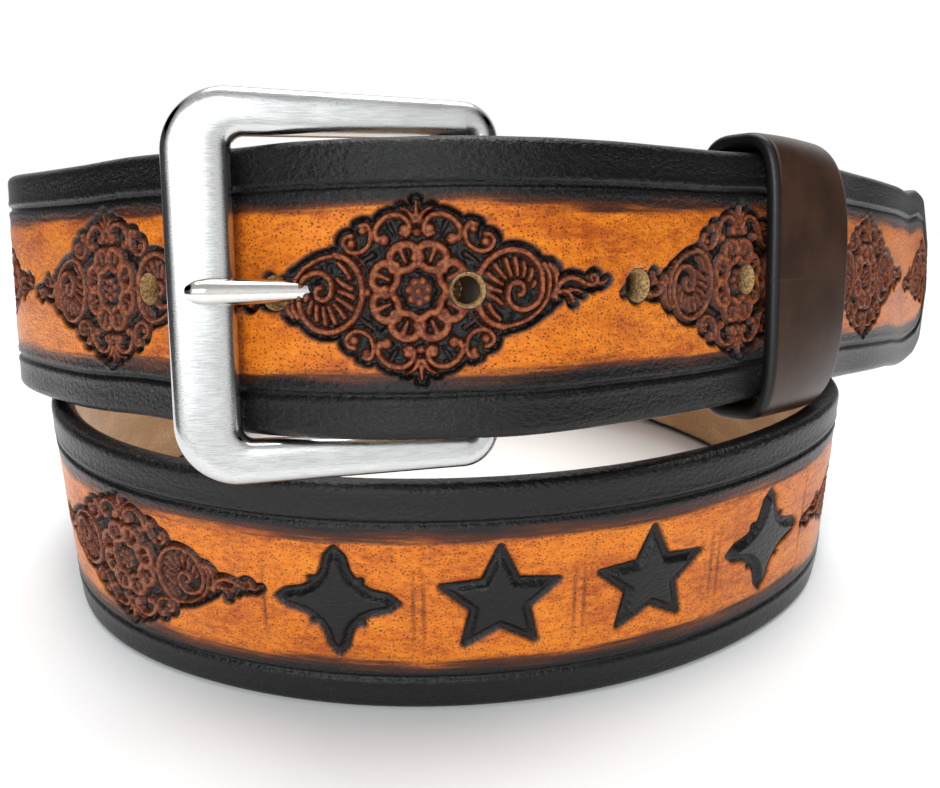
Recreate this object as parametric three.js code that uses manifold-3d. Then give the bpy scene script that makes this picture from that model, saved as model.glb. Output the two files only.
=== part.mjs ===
// A tooled leather belt, buckled and wound in two turns that stand on the lower edge.
// Millimetres, +Z up. The winding's front, where the buckle is, looks along -Y.
import * as THREE from "three";
import { mergeVertices } from "three/addons/utils/BufferGeometryUtils.js";
import Module from "manifold-3d";

const wasm = await Module();
wasm.setup();

// Strap
const strapWidth = 38.1;
const strapThickness = 3.8;
const edgeRound = 1.3;
const borderInset = 5.9; // from the strap's edge to the middle of the border groove
const grooveWidth = 1.5;
const grooveDepth = 0.45;
const layerGap = 0.35; // between two layers of leather, and between leather and metal
const sectionStep = 9; // longest piece of strap between two sections
const sectionBend = 6.6; // most degrees that the strap turns between two sections

// Winding: half axes of the middle of the leather in the lower turn
const windingHalfWidth = 77.7;
const windingHalfDepth = 66.2;

// Holes and tip
const holeDiameter = 4.6;
const holePitch = 25;
const holesBeforeProng = 1;
const holesAfterProng = 3;
const lastHoleToTip = 104;
const tipLength = 12.5;
const tipShoulder = 0.86; // half height of the strap at the tip's shoulder, as a share of its own
const tipBlunt = 3.2; // half height of the blunt point

// Tooling
const motifPitch = 53.5;
const motifLength = 48.4;
const motifHeight = 22.7;
const motifSink = 0.5;
const motifOffset = 19; // from the prong's hole to the middle of the medallion beside it
const rosetteRadius = 6.5;
const rosetteRise = 0.35;
const stampTurn = 376.5; // where on the winding the row of stamps has its middle
const stampCount = 4;
const stampPitch = 23.7;
const stampSize = 17;
const stampRise = 0.45;
const stampToMotif = 24.8; // from the end of the row of stamps to the middle of a medallion

// Fold round the heel bar
const foldLength = 40;
const foldBlend = 13; // where the folded end has come down on the strap
const slotReach = 7.4; // the slot's length on each side of the heel bar
const postStations = [18, 32];
const postFlangeRadius = 3.8;
const postFlangeThickness = 0.8;
const postShaftRadius = 2;
const postInset = 0.15; // how deep the flange lies below the leather's face

// Buckle
const heelTurn = 726.8; // where on the winding the strap passes over the heel bar
const heelBarRadius = 2;
const heelGap = 0.5; // between the heel bar and the fold round it
const frameReach = 37.3; // from the heel bar's axis to the middle of the front bar
const frontBarWidth = 8.8;
const frameBarWidth = 6.1; // side bars at the front corners
const heelSideWidth = 4.85; // side bars where they meet the heel bar
const frameThickness = 4.5;
const barSquareness = 0.62; // 1 is an elliptical section, less is squarer
const frameOuterRadius = 8.5;
const frameHeelRadius = 5;
const frameInnerRadius = 1.6;
const heelInnerRadius = 0.5; // small, so that the strap has the whole bar
const frameSideGap = 0.75; // from the strap's edge to the bar above or below it
const prongEyeHeight = 5;
const prongEyeWall = 1.5;
const prongShankRadius = 1.4;
const prongBulbRadius = 1.85;
const prongPastBar = 1.6; // from the middle of the front bar to the prong's end
const prongRest = 0.55; // from the front bar's face to the prong
const prongLead = 1.3; // the strap's pull sets its hole's middle this far from the prong

// Keeper
const keeperStation = 77; // along the strap from the prong's hole to the keeper's near edge
const keeperWidth = 18;
const keeperThickness = 2.2;
const keeperGap = 1.15; // from the strap's faces to the loop
const keeperFlare = 3.2; // what the loop stands further off in front at its far edge
const keeperAbove = 1;
const keeperBelow = 1.5;
const keeperSquareness = 5; // 2 is an elliptical loop, more is squarer
const keeperFlareSquareness = 3; // of the flared front

// The winding, a row for each bend or change of height of the strap's middle line.
// turn: degrees round the winding from its front, going right; reach: share of the half axes;
// rise: share of the strap's width; back, left: degrees that the strap's upper edge leans.
const windingRows = [
  { turn: 77, reach: 0.868, rise: 1.48, back: 13, left: 0 },
  { turn: 93, reach: 0.848, rise: 1.36, back: 12, left: 0 },
  { turn: 110, reach: 0.865, rise: 1.2, back: 10, left: 0 },
  { turn: 135, reach: 0.908, rise: 1.0, back: 8, left: 0 },
  { turn: 160, reach: 0.935, rise: 0.86, back: 6, left: 0 },
  { turn: 182, reach: 0.935, rise: 0.765, back: 4, left: 0 },
  { turn: 205, reach: 0.93, rise: 0.66, back: 3, left: 0 },
  { turn: 232, reach: 0.92, rise: 0.555, back: 1, left: 0 },
  { turn: 258, reach: 0.925, rise: 0.503, back: 0, left: 0 },
  { turn: 278, reach: 0.935, rise: 0.5, back: 0, left: 0 },
  { turn: 292, reach: 0.953, rise: 0.5, back: 0, left: 0 },
  { turn: 306, reach: 0.992, rise: 0.5, back: 0, left: 0 },
  { turn: 320, reach: 1.014, rise: 0.5, back: 0, left: 0 },
  { turn: 333, reach: 1.012, rise: 0.5, back: 0, left: 0 },
  { turn: 351, reach: 1.002, rise: 0.5, back: 0, left: 0 },
  { turn: 374, reach: 0.992, rise: 0.5, back: 0, left: 0 },
  { turn: 390, reach: 0.993, rise: 0.5, back: 0, left: 0 },
  { turn: 407, reach: 1.0, rise: 0.5, back: 0, left: 0 },
  { turn: 424, reach: 1.003, rise: 0.5, back: 0, left: 0 },
  { turn: 434, reach: 0.985, rise: 0.503, back: 0, left: 5 },
  { turn: 446, reach: 0.963, rise: 0.507, back: 0, left: 10 },
  { turn: 460, reach: 0.958, rise: 0.508, back: 0, left: 10 },
  { turn: 475, reach: 0.975, rise: 0.505, back: 0, left: 5 },
  { turn: 489, reach: 1.003, rise: 0.506, back: 0, left: 1 },
  { turn: 503, reach: 1.016, rise: 0.53, back: 0, left: 0 },
  { turn: 522, reach: 1.02, rise: 0.615, back: 3, left: 0 },
  { turn: 542, reach: 1.022, rise: 0.77, back: 5, left: 0 },
  { turn: 562, reach: 1.025, rise: 0.93, back: 7, left: 0 },
  { turn: 585, reach: 1.035, rise: 1.1, back: 9, left: 0 },
  { turn: 608, reach: 1.05, rise: 1.245, back: 11, left: 0 },
  { turn: 630, reach: 1.045, rise: 1.345, back: 12, left: 0 },
  { turn: 645, reach: 1.01, rise: 1.437, back: 13, left: 0 },
  { turn: 660, reach: 0.95, rise: 1.505, back: 13, left: 0 },
  { turn: 673, reach: 0.925, rise: 1.563, back: 13, left: 0 },
  { turn: 684, reach: 0.921, rise: 1.617, back: 13, left: 0 },
  { turn: 693, reach: 0.942, rise: 1.65, back: 13, left: 0 },
  { turn: 701, reach: 0.974, rise: 1.677, back: 13, left: 0 },
  { turn: 709, reach: 1.012, rise: 1.711, back: 13, left: 0 },
  { turn: 716, reach: 1.03, rise: 1.728, back: 13, left: 0 },
  { turn: 723, reach: 1.031, rise: 1.735, back: 13, left: 0 },
  { turn: 730, reach: 1.015, rise: 1.726, back: 13, left: 0 },
  { turn: 738, reach: 0.972, rise: 1.703, back: 13, left: 0 },
  { turn: 747, reach: 0.929, rise: 1.669, back: 13, left: 0 },
  { turn: 757, reach: 0.898, rise: 1.632, back: 13, left: 0 },
  { turn: 768, reach: 0.89, rise: 1.598, back: 13, left: 0 },
  { turn: 781, reach: 0.91, rise: 1.54, back: 13, left: 0 },
  { turn: 792, reach: 0.95, rise: 1.482, back: 13, left: 0 },
  { turn: 800, reach: 1.005, rise: 1.432, back: 13, left: 0 },
  { turn: 808, reach: 1.097, rise: 1.372, back: 13, left: 0 },
  { turn: 816, reach: 1.222, rise: 1.3, back: 13, left: 0 },
  { turn: 823, reach: 1.37, rise: 1.222, back: 13, left: 0 },
];
const turnStep = 0.5;
const upperFrom = 600; // from this turn on, the rows are the strap's outer end
const innerFrom = 8; // first and last turn where the strap's inner end lies under the outer one
const innerTo = 64;
const innerStep = 6;

const leather = new THREE.MeshStandardMaterial({ color: 0x8a4315, roughness: 0.55, metalness: 0 });
const darkLeather = new THREE.MeshStandardMaterial({ color: 0x3a2a20, roughness: 0.45, metalness: 0 });
const brushedNickel = new THREE.MeshStandardMaterial({ color: 0xb9b8b4, roughness: 0.35, metalness: 1 });
const polishedNickel = new THREE.MeshStandardMaterial({ color: 0xc9c8c4, roughness: 0.15, metalness: 1 });

const radians = THREE.MathUtils.degToRad;
const tangentOf = (degrees) => Math.tan(radians(degrees));
const mix = (a, b, share) => a + (b - a) * share;

// Natural cubic spline through the columns of keyed rows; returns a function of the key.
function splineOf(keys, columns) {
  const last = keys.length - 1;
  const second = columns.map((values) => {
    const upper = new Array(last + 1).fill(0);
    const right = new Array(last + 1).fill(0);
    for (let i = 1; i < last; i++) {
      const before = keys[i] - keys[i - 1];
      const after = keys[i + 1] - keys[i];
      const slope = (values[i + 1] - values[i]) / after - (values[i] - values[i - 1]) / before;
      const pivot = 2 * (before + after) - before * upper[i - 1];
      upper[i] = after / pivot;
      right[i] = (6 * slope - before * right[i - 1]) / pivot;
    }
    const curvature = new Array(last + 1).fill(0);
    for (let i = last - 1; i > 0; i--) curvature[i] = right[i] - upper[i] * curvature[i + 1];
    return curvature;
  });
  return (key) => {
    let i = 0;
    while (i < last - 1 && key > keys[i + 1]) i++;
    const width = keys[i + 1] - keys[i];
    const a = (keys[i + 1] - key) / width;
    const b = (key - keys[i]) / width;
    return columns.map(
      (values, c) =>
        a * values[i] +
        b * values[i + 1] +
        (((a ** 3 - a) * second[c][i] + (b ** 3 - b) * second[c][i + 1]) * width * width) / 6,
    );
  };
}

// Cubic pieces through the columns that never overshoot a row, so that level stretches stay level.
function levelCurveOf(keys, columns) {
  const last = keys.length - 1;
  const slopes = columns.map((values) => {
    const rate = (i) => (values[i + 1] - values[i]) / (keys[i + 1] - keys[i]);
    return values.map((_, i) => {
      if (i === 0 || i === last || rate(i - 1) * rate(i) <= 0) return 0;
      return 2 / (1 / rate(i - 1) + 1 / rate(i));
    });
  });
  return (key) => {
    let i = 0;
    while (i < last - 1 && key > keys[i + 1]) i++;
    const width = keys[i + 1] - keys[i];
    const b = (key - keys[i]) / width;
    const blend = b * b * (3 - 2 * b);
    return columns.map(
      (values, c) =>
        mix(values[i], values[i + 1], blend) +
        (slopes[c][i] * (1 - b) - slopes[c][i + 1] * b) * width * b * (1 - b),
    );
  };
}

// A row of the table as a point of the middle line and the lean of its upper edge.
function placeRow({ turn, reach, rise, back, left }) {
  return {
    turn,
    plan: [
      windingHalfWidth * reach * Math.sin(radians(turn)),
      -windingHalfDepth * reach * Math.cos(radians(turn)),
    ],
    stand: [rise * strapWidth, -tangentOf(left), tangentOf(back)],
  };
}

// Points with a direction along, across (up) and out of the leather's outer face.
function framesOf(points) {
  return points.map(({ turn, centre, lean }, i) => {
    const before = points[Math.max(i - 1, 0)].centre;
    const after = points[Math.min(i + 1, points.length - 1)].centre;
    const along = after.clone().sub(before).normalize();
    const across = lean.clone().addScaledVector(along, -lean.dot(along)).normalize();
    return { turn, centre, lean, along, across, out: along.clone().cross(across) };
  });
}

function sampled(rows) {
  const keys = rows.map((row) => row.turn);
  const columnsOf = (name) => rows[0][name].map((_, c) => rows.map((row) => row[name][c]));
  const planAt = splineOf(keys, columnsOf("plan"));
  const standAt = levelCurveOf(keys, columnsOf("stand"));
  const points = [];
  for (let turn = rows[0].turn; turn <= rows.at(-1).turn; turn += turnStep) {
    const [x, y] = planAt(turn);
    const [z, leanX, leanY] = standAt(turn);
    points.push({ turn, centre: new THREE.Vector3(x, y, z), lean: new THREE.Vector3(leanX, leanY, 1) });
  }
  return framesOf(points);
}

// Adds the length along the line to each frame.
function measured(frames) {
  let length = 0;
  return frames.map((frame, i) => {
    if (i) length += frame.centre.distanceTo(frames[i - 1].centre);
    return { ...frame, length };
  });
}

// The frame at a length along a measured line, carried on straight past its ends.
function frameAt(line, length) {
  let i = 0;
  while (i < line.length - 2 && length > line[i + 1].length) i++;
  const a = line[i];
  const b = line[i + 1];
  const share = (length - a.length) / (b.length - a.length);
  const centre = a.centre.clone().lerp(b.centre, share);
  const along = a.along.clone().lerp(b.along, THREE.MathUtils.clamp(share, 0, 1)).normalize();
  const lean = a.lean.clone().lerp(b.lean, THREE.MathUtils.clamp(share, 0, 1));
  const across = lean.clone().addScaledVector(along, -lean.dot(along)).normalize();
  const out = along.clone().cross(across);
  return { centre, along, across, out, lean, length, turn: mix(a.turn, b.turn, share) };
}

const offsetPoint = (frame, outward, upward = 0) =>
  frame.centre.clone().addScaledVector(frame.out, outward).addScaledVector(frame.across, upward);

// The middle line: the inner end lies one layer under the outer end, then follows the rows.
const placedRows = windingRows.map(placeRow);
const outerEnd = sampled(placedRows.filter((row) => row.turn >= upperFrom));
const outerAtTurn = (turn) => outerEnd.find((frame) => frame.turn >= turn);
const layerPitch = strapThickness + layerGap;
const innerRows = [];
for (let turn = innerFrom; turn <= innerTo; turn += innerStep) {
  const over = outerAtTurn(turn + 360 * 2);
  const { x, y, z } = offsetPoint(over, -layerPitch);
  innerRows.push({ turn, plan: [x, y], stand: [z, over.lean.x, over.lean.y] });
}
const heelFrame = outerAtTurn(heelTurn);
const wrapRadius = heelBarRadius + heelGap + strapThickness / 2;
const heelCentre = offsetPoint(heelFrame, -(layerPitch + wrapRadius));
const mainLine = sampled([...innerRows, ...placedRows]);

// Buckle axes: reach to the front bar, up, and out to the viewer. The front bar rests on the strap.
function buckleAxes() {
  const up = heelFrame.across.clone();
  const leftward = heelFrame.along.clone().negate();
  const outward = heelFrame.out.clone();
  const halfWidth = frontBarWidth / 2;
  const halfThickness = frameThickness / 2;
  const rest = strapThickness / 2 + layerGap;
  const strapUnderBar = outerEnd.filter((frame) => frame.centre.x < heelCentre.x && frame.turn > upperFrom);
  const clearAt = (angle) => {
    const reach = leftward.clone().applyAxisAngle(up, angle);
    const out = outward.clone().applyAxisAngle(up, angle);
    let least = Infinity;
    for (let k = 0; k < 24; k++) {
      const round = (k / 24) * 2 * Math.PI;
      const width = Math.sign(Math.cos(round)) * halfWidth * Math.abs(Math.cos(round)) ** barSquareness;
      const depth = Math.sign(Math.sin(round)) * halfThickness * Math.abs(Math.sin(round)) ** barSquareness;
      const point = heelCentre.clone().addScaledVector(reach, frameReach + width).addScaledVector(out, depth);
      for (const frame of strapUnderBar) {
        const away = point.clone().sub(frame.centre);
        if (Math.abs(away.dot(frame.along)) > 1) continue;
        least = Math.min(least, away.dot(frame.out));
      }
    }
    return { least, reach, out };
  };
  let low = radians(-40);
  let high = radians(40);
  for (let i = 0; i < 30; i++) {
    const middle = (low + high) / 2;
    if (clearAt(middle).least > rest) high = middle;
    else low = middle;
  }
  const { reach, out } = clearAt(high);
  return { reach, up, out };
}
const buckle = buckleAxes();
const buckleHalfOpening = strapWidth / 2 + frameSideGap;
const bucklePoint = (reach, up, out) =>
  heelCentre
    .clone()
    .addScaledVector(buckle.reach, reach)
    .addScaledVector(buckle.up, up)
    .addScaledVector(buckle.out, out);

// The prong's axis: from the heel bar through the strap to the front bar's face.
const prongLift = frameThickness / 2 + prongBulbRadius + prongRest;
const prongEnd = frameReach + prongPastBar;
const prongRise = (reach) => prongLift * (reach / frameReach);

// Where the prong's axis leaves the outer end's face.
function prongTurn() {
  const side = (frame) => {
    const away = offsetPoint(frame, strapThickness / 2).sub(heelCentre);
    return away.dot(buckle.out) - prongRise(away.dot(buckle.reach));
  };
  const before = outerEnd.filter((frame) => frame.turn < heelTurn);
  for (let i = before.length - 1; i > 0; i--) if (side(before[i]) < 0) return before[i].turn;
  throw new Error("the prong doesn't meet the strap");
}

// Fold: from the folded end to the heel bar, round it, then the main line.
function beltLine() {
  const main = measured(mainLine);
  const start = main.findIndex((frame) => frame.centre.clone().sub(heelCentre).dot(heelFrame.along) > 0);
  const run = measured(main.slice(Math.max(start, 1)));
  const points = [];
  const foldSteps = 12;
  for (let i = 0; i <= foldSteps; i++) {
    const length = foldLength * (1 - i / foldSteps);
    const frame = frameAt(run, length);
    const open = 1 - THREE.MathUtils.smoothstep(length, 0, foldBlend);
    const depth = layerPitch + (2 * wrapRadius - layerPitch) * open;
    points.push({ turn: frame.turn, centre: offsetPoint(frame, -depth), lean: frame.lean });
  }
  const wrapSteps = 10;
  for (let i = 1; i < wrapSteps; i++) {
    const angle = (i / wrapSteps) * Math.PI;
    const centre = heelCentre
      .clone()
      .addScaledVector(heelFrame.out, -wrapRadius * Math.cos(angle))
      .addScaledVector(heelFrame.along, -wrapRadius * Math.sin(angle));
    points.push({ turn: run[0].turn, centre, lean: heelFrame.lean });
  }
  const fold = points.length;
  for (const { turn, centre, lean } of run) points.push({ turn, centre, lean });
  return { frames: measured(framesOf(points)), fold };
}
const belt = beltLine();
const heelLength = belt.frames[belt.fold].length;
const lengthAtTurn = (turn) => belt.frames.slice(belt.fold).find((frame) => frame.turn >= turn).length;
const prongHole = lengthAtTurn(prongTurn()) - prongLead;
const beltEnd = prongHole + holesAfterProng * holePitch + lastHoleToTip;

// A closed mesh from rings with as many points each; an open row of rings gets flat ends.
function loft(rings, closed) {
  const count = rings[0].length;
  const positions = rings.flat().flatMap(({ x, y, z }) => [x, y, z]);
  const faces = [];
  const ringCount = closed ? rings.length : rings.length - 1;
  for (let i = 0; i < ringCount; i++) {
    for (let j = 0; j < count; j++) {
      const a = i * count + j;
      const b = i * count + ((j + 1) % count);
      const c = ((i + 1) % rings.length) * count + j;
      const d = ((i + 1) % rings.length) * count + ((j + 1) % count);
      faces.push(a, b, c, b, d, c);
    }
  }
  if (!closed) {
    const end = (rings.length - 1) * count;
    for (let j = 1; j < count - 1; j++) faces.push(0, j + 1, j, end, end + j, end + j + 1);
  }
  const geometry = new THREE.BufferGeometry();
  geometry.setAttribute("position", new THREE.Float32BufferAttribute(positions, 3));
  geometry.setIndex(faces);
  return geometry;
}

function solidOf(geometry) {
  const plain = geometry.clone();
  plain.deleteAttribute("normal");
  plain.deleteAttribute("uv");
  const merged = mergeVertices(plain, 1e-4);
  const made = new wasm.Manifold(
    new wasm.Mesh({
      numProp: 3,
      vertProperties: new Float32Array(merged.attributes.position.array),
      triVerts: new Uint32Array(merged.index.array),
    }),
  );
  if (made.volume() >= 0) return made;
  const faces = Array.from(merged.index.array);
  for (let i = 0; i < faces.length; i += 3) [faces[i], faces[i + 1]] = [faces[i + 1], faces[i]];
  merged.setIndex(faces);
  return solidOf(merged);
}

function meshOf(name, solid, material) {
  const { numProp, vertProperties, triVerts } = solid.getMesh();
  const positions = new Float32Array((vertProperties.length / numProp) * 3);
  for (let i = 0; i * numProp < vertProperties.length; i++)
    positions.set(vertProperties.subarray(i * numProp, i * numProp + 3), i * 3);
  const geometry = new THREE.BufferGeometry();
  geometry.setAttribute("position", new THREE.BufferAttribute(positions, 3));
  geometry.setIndex(new THREE.BufferAttribute(new Uint32Array(triVerts), 1));
  geometry.computeVertexNormals();
  const mesh = new THREE.Mesh(geometry, material);
  mesh.name = name;
  return mesh;
}

// A geometry with its Y axis set along a direction, moved to a point.
function aimed(geometry, direction, point) {
  const turned = new THREE.Quaternion().setFromUnitVectors(new THREE.Vector3(0, 1, 0), direction);
  return geometry.applyQuaternion(turned).translate(point.x, point.y, point.z);
}

// The strap's section: rounded corners and two border grooves in the outer face.
function sectionRing(frame, half) {
  const face = strapThickness / 2;
  const groove = Math.max(half - borderInset, edgeRound * 1.5);
  const points = [
    [-half, face - edgeRound],
    [-half + edgeRound, face],
    [-groove - grooveWidth / 2, face],
    [-groove, face - grooveDepth],
    [-groove + grooveWidth / 2, face],
    [groove - grooveWidth / 2, face],
    [groove, face - grooveDepth],
    [groove + grooveWidth / 2, face],
    [half - edgeRound, face],
    [half, face - edgeRound],
    [half, -face + edgeRound],
    [half - edgeRound, -face],
    [-half + edgeRound, -face],
    [-half, -face + edgeRound],
  ];
  return points.map(([up, out]) => offsetPoint(frame, out, up));
}

function tipHalf(length) {
  const left = beltEnd - length;
  const full = strapWidth / 2;
  if (left >= tipLength) return full;
  const share = left / tipLength;
  return share < 0.5
    ? mix(tipBlunt, full * tipShoulder, (share / 0.5) ** 0.9)
    : mix(full * tipShoulder, full, ((share - 0.5) / 0.5) ** 0.6);
}

function strapBody() {
  const rings = [];
  for (let i = 0; i < belt.fold; i++) rings.push(sectionRing(belt.frames[i], strapWidth / 2));
  let last = null;
  for (const frame of belt.frames.slice(belt.fold)) {
    if (frame.length > beltEnd - tipLength - sectionStep / 4) break;
    const due =
      !last ||
      frame.length - last.length > sectionStep ||
      frame.along.angleTo(last.along) > radians(sectionBend);
    if (!due) continue;
    rings.push(sectionRing(frame, strapWidth / 2));
    last = frame;
  }
  const tipSteps = 8;
  for (let i = 0; i <= tipSteps; i++) {
    const length = beltEnd - tipLength * (1 - i / tipSteps);
    rings.push(sectionRing(frameAt(belt.frames, length), tipHalf(length)));
  }
  return solidOf(loft(rings, false));
}

// A low pad on the outer face, from below to above, whose half height follows its outline.
function pad(middle, outline, below, above) {
  const rings = outline.map(([offset, half]) => {
    const frame = frameAt(belt.frames, middle + offset);
    return [
      offsetPoint(frame, below, -half),
      offsetPoint(frame, above, -half),
      offsetPoint(frame, above, half),
      offsetPoint(frame, below, half),
    ];
  });
  return solidOf(loft(rings, false));
}

// Half outlines as shares of length and height, mirrored about the middle.
const medallionOutline = [
  [1, 0.03],
  [0.62, 0.36],
  [0, 1],
];
const stampOutline = [
  [1, 0.04],
  [0.4, 0.5],
  [0, 1],
];
const mirrored = (half, halfLength, halfHeight) => [
  ...half.map(([along, up]) => [-along * halfLength, up * halfHeight]),
  ...half
    .slice(0, -1)
    .reverse()
    .map(([along, up]) => [along * halfLength, up * halfHeight]),
];
const roundOutline = (radius) =>
  Array.from({ length: 5 }, (_, i) => {
    const angle = (i / 4) * Math.PI;
    return [-radius * Math.cos(angle), Math.max(radius * Math.sin(angle), 0.2)];
  });

// Medallions: an even row from the fold to the stamps, and from the stamps to the tip, which may cut one.
function medallionStations() {
  const middle = lengthAtTurn(stampTurn);
  const side = (stampCount * stampPitch) / 2 + stampToMotif;
  const stations = [];
  const first = heelLength + foldLength + motifLength;
  for (let at = middle - side; at > first; at -= motifPitch) stations.push(at);
  const shown = prongHole + motifOffset;
  const hiddenRun = shown - motifPitch - (middle + side);
  const hiddenSteps = Math.max(Math.round(hiddenRun / motifPitch), 1);
  for (let i = 0; i < hiddenSteps; i++) stations.push(middle + side + (hiddenRun * i) / hiddenSteps);
  for (let at = shown - motifPitch; at - motifLength / 2 < beltEnd - tipLength; at += motifPitch)
    stations.push(at);
  return stations;
}

function stampStations() {
  const middle = lengthAtTurn(stampTurn);
  return Array.from({ length: stampCount }, (_, i) => middle + (i - (stampCount - 1) / 2) * stampPitch);
}

function punch(length, radius, from, to) {
  const frame = frameAt(belt.frames, length);
  const cylinder = new THREE.CylinderGeometry(radius, radius, to - from, 16);
  return solidOf(aimed(cylinder, frame.out, offsetPoint(frame, (from + to) / 2)));
}

const prongRadii = [
  [0.07, prongShankRadius * 1.1],
  [0.45, prongShankRadius],
  [0.66, prongShankRadius],
  [0.82, prongShankRadius * 1.2],
  [0.92, prongBulbRadius],
  [0.97, prongBulbRadius * 0.8],
  [1, prongBulbRadius * 0.35],
];

function prongShank(clearance) {
  const sides = 12;
  const rings = prongRadii.map(([share, radius]) => {
    const reach = share * prongEnd;
    const centre = bucklePoint(reach, 0, prongRise(reach));
    return Array.from({ length: sides }, (_, k) => {
      const angle = (k / sides) * 2 * Math.PI;
      return centre
        .clone()
        .addScaledVector(buckle.up, Math.cos(angle) * (radius + clearance))
        .addScaledVector(buckle.out, Math.sin(angle) * (radius + clearance));
    });
  });
  return solidOf(loft(rings, false));
}

function postSpans() {
  const face = strapThickness / 2;
  return postStations.map((station) => {
    const frame = frameAt(belt.frames, heelLength + station);
    return { frame, front: face, back: -layerPitch - face };
  });
}

function postSolid({ frame, front, back }, clearance) {
  const outer = front - postInset + clearance * 3;
  const inner = back + postInset - clearance * 3;
  const flange = postFlangeRadius + clearance;
  const shaft = postShaftRadius + clearance;
  const step = postFlangeThickness + clearance;
  const profile = [
    [0, inner],
    [flange, inner],
    [flange, back + postInset + step],
    [shaft, back + postInset + step],
    [shaft, front - postInset - step],
    [flange, front - postInset - step],
    [flange, outer],
    [0, outer],
  ].map(([radius, along]) => new THREE.Vector2(radius, along));
  return solidOf(aimed(new THREE.LatheGeometry(profile, 16), frame.out, frame.centre));
}

function slotForEye() {
  const half = prongEyeHeight / 2 + layerGap * 1.5;
  const depth = wrapRadius + strapThickness / 2 + layerGap / 2;
  const ends = [-slotReach, slotReach].map((reach) =>
    [
      [-half, -depth - 2 * strapThickness],
      [half, -depth - 2 * strapThickness],
      [half, depth],
      [-half, depth],
    ].map(([up, out]) => heelCentre
      .clone()
      .addScaledVector(heelFrame.along, reach)
      .addScaledVector(heelFrame.across, up)
      .addScaledVector(heelFrame.out, out)),
  );
  return solidOf(loft(ends, false));
}

function strapSolid() {
  let solid = strapBody();
  const face = strapThickness / 2;
  const sunk = mirrored(medallionOutline, motifLength / 2, motifHeight / 2);
  for (const station of medallionStations()) {
    solid = solid.subtract(pad(station, sunk, face - motifSink, face + 1));
    if (station + rosetteRadius > beltEnd - tipLength) continue;
    solid = solid.add(pad(station, roundOutline(rosetteRadius), 0, face - motifSink + rosetteRise));
  }
  const stamp = mirrored(stampOutline, stampSize / 2, stampSize / 2);
  for (const station of stampStations()) solid = solid.add(pad(station, stamp, 0, face + stampRise));
  for (let i = -holesBeforeProng; i <= holesAfterProng; i++)
    solid = solid.subtract(punch(prongHole + i * holePitch, holeDiameter / 2, -face - 1, face + 1));
  for (const span of postSpans()) solid = solid.subtract(postSolid(span, layerGap));
  return solid.subtract(slotForEye()).subtract(prongShank(layerGap));
}

// The buckle's frame: a ring of bars, wide and flat in front, round at the heel.
function frameSolid() {
  const cornerSteps = 5;
  const innerUp = buckleHalfOpening;
  const innerFront = frameReach - frontBarWidth / 2;
  const outerFront = frameReach + frontBarWidth / 2;
  const corner = (reachSign, upSign) => {
    const front = reachSign > 0;
    const outerRadius = front ? frameOuterRadius : frameHeelRadius;
    const outerReach = front ? outerFront : -heelBarRadius;
    const innerReach = front ? innerFront : heelBarRadius;
    const outerUp = innerUp + (front ? frameBarWidth : heelSideWidth);
    return Array.from({ length: cornerSteps + 1 }, (_, i) => {
      const angle = (i / cornerSteps) * (Math.PI / 2);
      const part = (reach, up, radius) => [
        reach - reachSign * radius * (1 - Math.cos(angle)),
        upSign * (up - radius * (1 - Math.sin(angle))),
      ];
      return {
        outer: part(outerReach, outerUp, outerRadius),
        inner: part(innerReach, innerUp, front ? frameInnerRadius : heelInnerRadius),
        heel: front ? 0 : Math.cos(angle),
      };
    });
  };
  const stations = [
    ...corner(1, 1),
    ...corner(-1, 1).reverse(),
    ...corner(-1, -1),
    ...corner(1, -1).reverse(),
  ];
  const sides = 12;
  const rings = stations.map(({ outer, inner, heel }) => {
    const half = mix(frameThickness / 2, heelBarRadius, heel);
    const power = mix(barSquareness, 1, heel);
    return Array.from({ length: sides }, (_, k) => {
      const angle = ((k + 0.5) / sides) * 2 * Math.PI;
      const across = Math.sign(Math.cos(angle)) * Math.abs(Math.cos(angle)) ** power;
      const depth = Math.sign(Math.sin(angle)) * Math.abs(Math.sin(angle)) ** power;
      const share = (across + 1) / 2;
      return bucklePoint(mix(inner[0], outer[0], share), mix(inner[1], outer[1], share), depth * half);
    });
  });
  return solidOf(loft(rings, true));
}

function prongSolid() {
  const inner = heelBarRadius + layerGap;
  const outer = inner + prongEyeWall;
  const half = prongEyeHeight / 2;
  const profile = [
    [inner, -half],
    [outer, -half],
    [outer, half],
    [inner, half],
    [inner, -half],
  ].map(([radius, up]) => new THREE.Vector2(radius, up));
  const eye = solidOf(aimed(new THREE.LatheGeometry(profile, 24), buckle.up, heelCentre));
  const bore = new THREE.CylinderGeometry(inner, inner, prongEyeHeight * 2, 24);
  return eye.add(prongShank(0)).subtract(solidOf(aimed(bore, buckle.up, heelCentre)));
}

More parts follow.
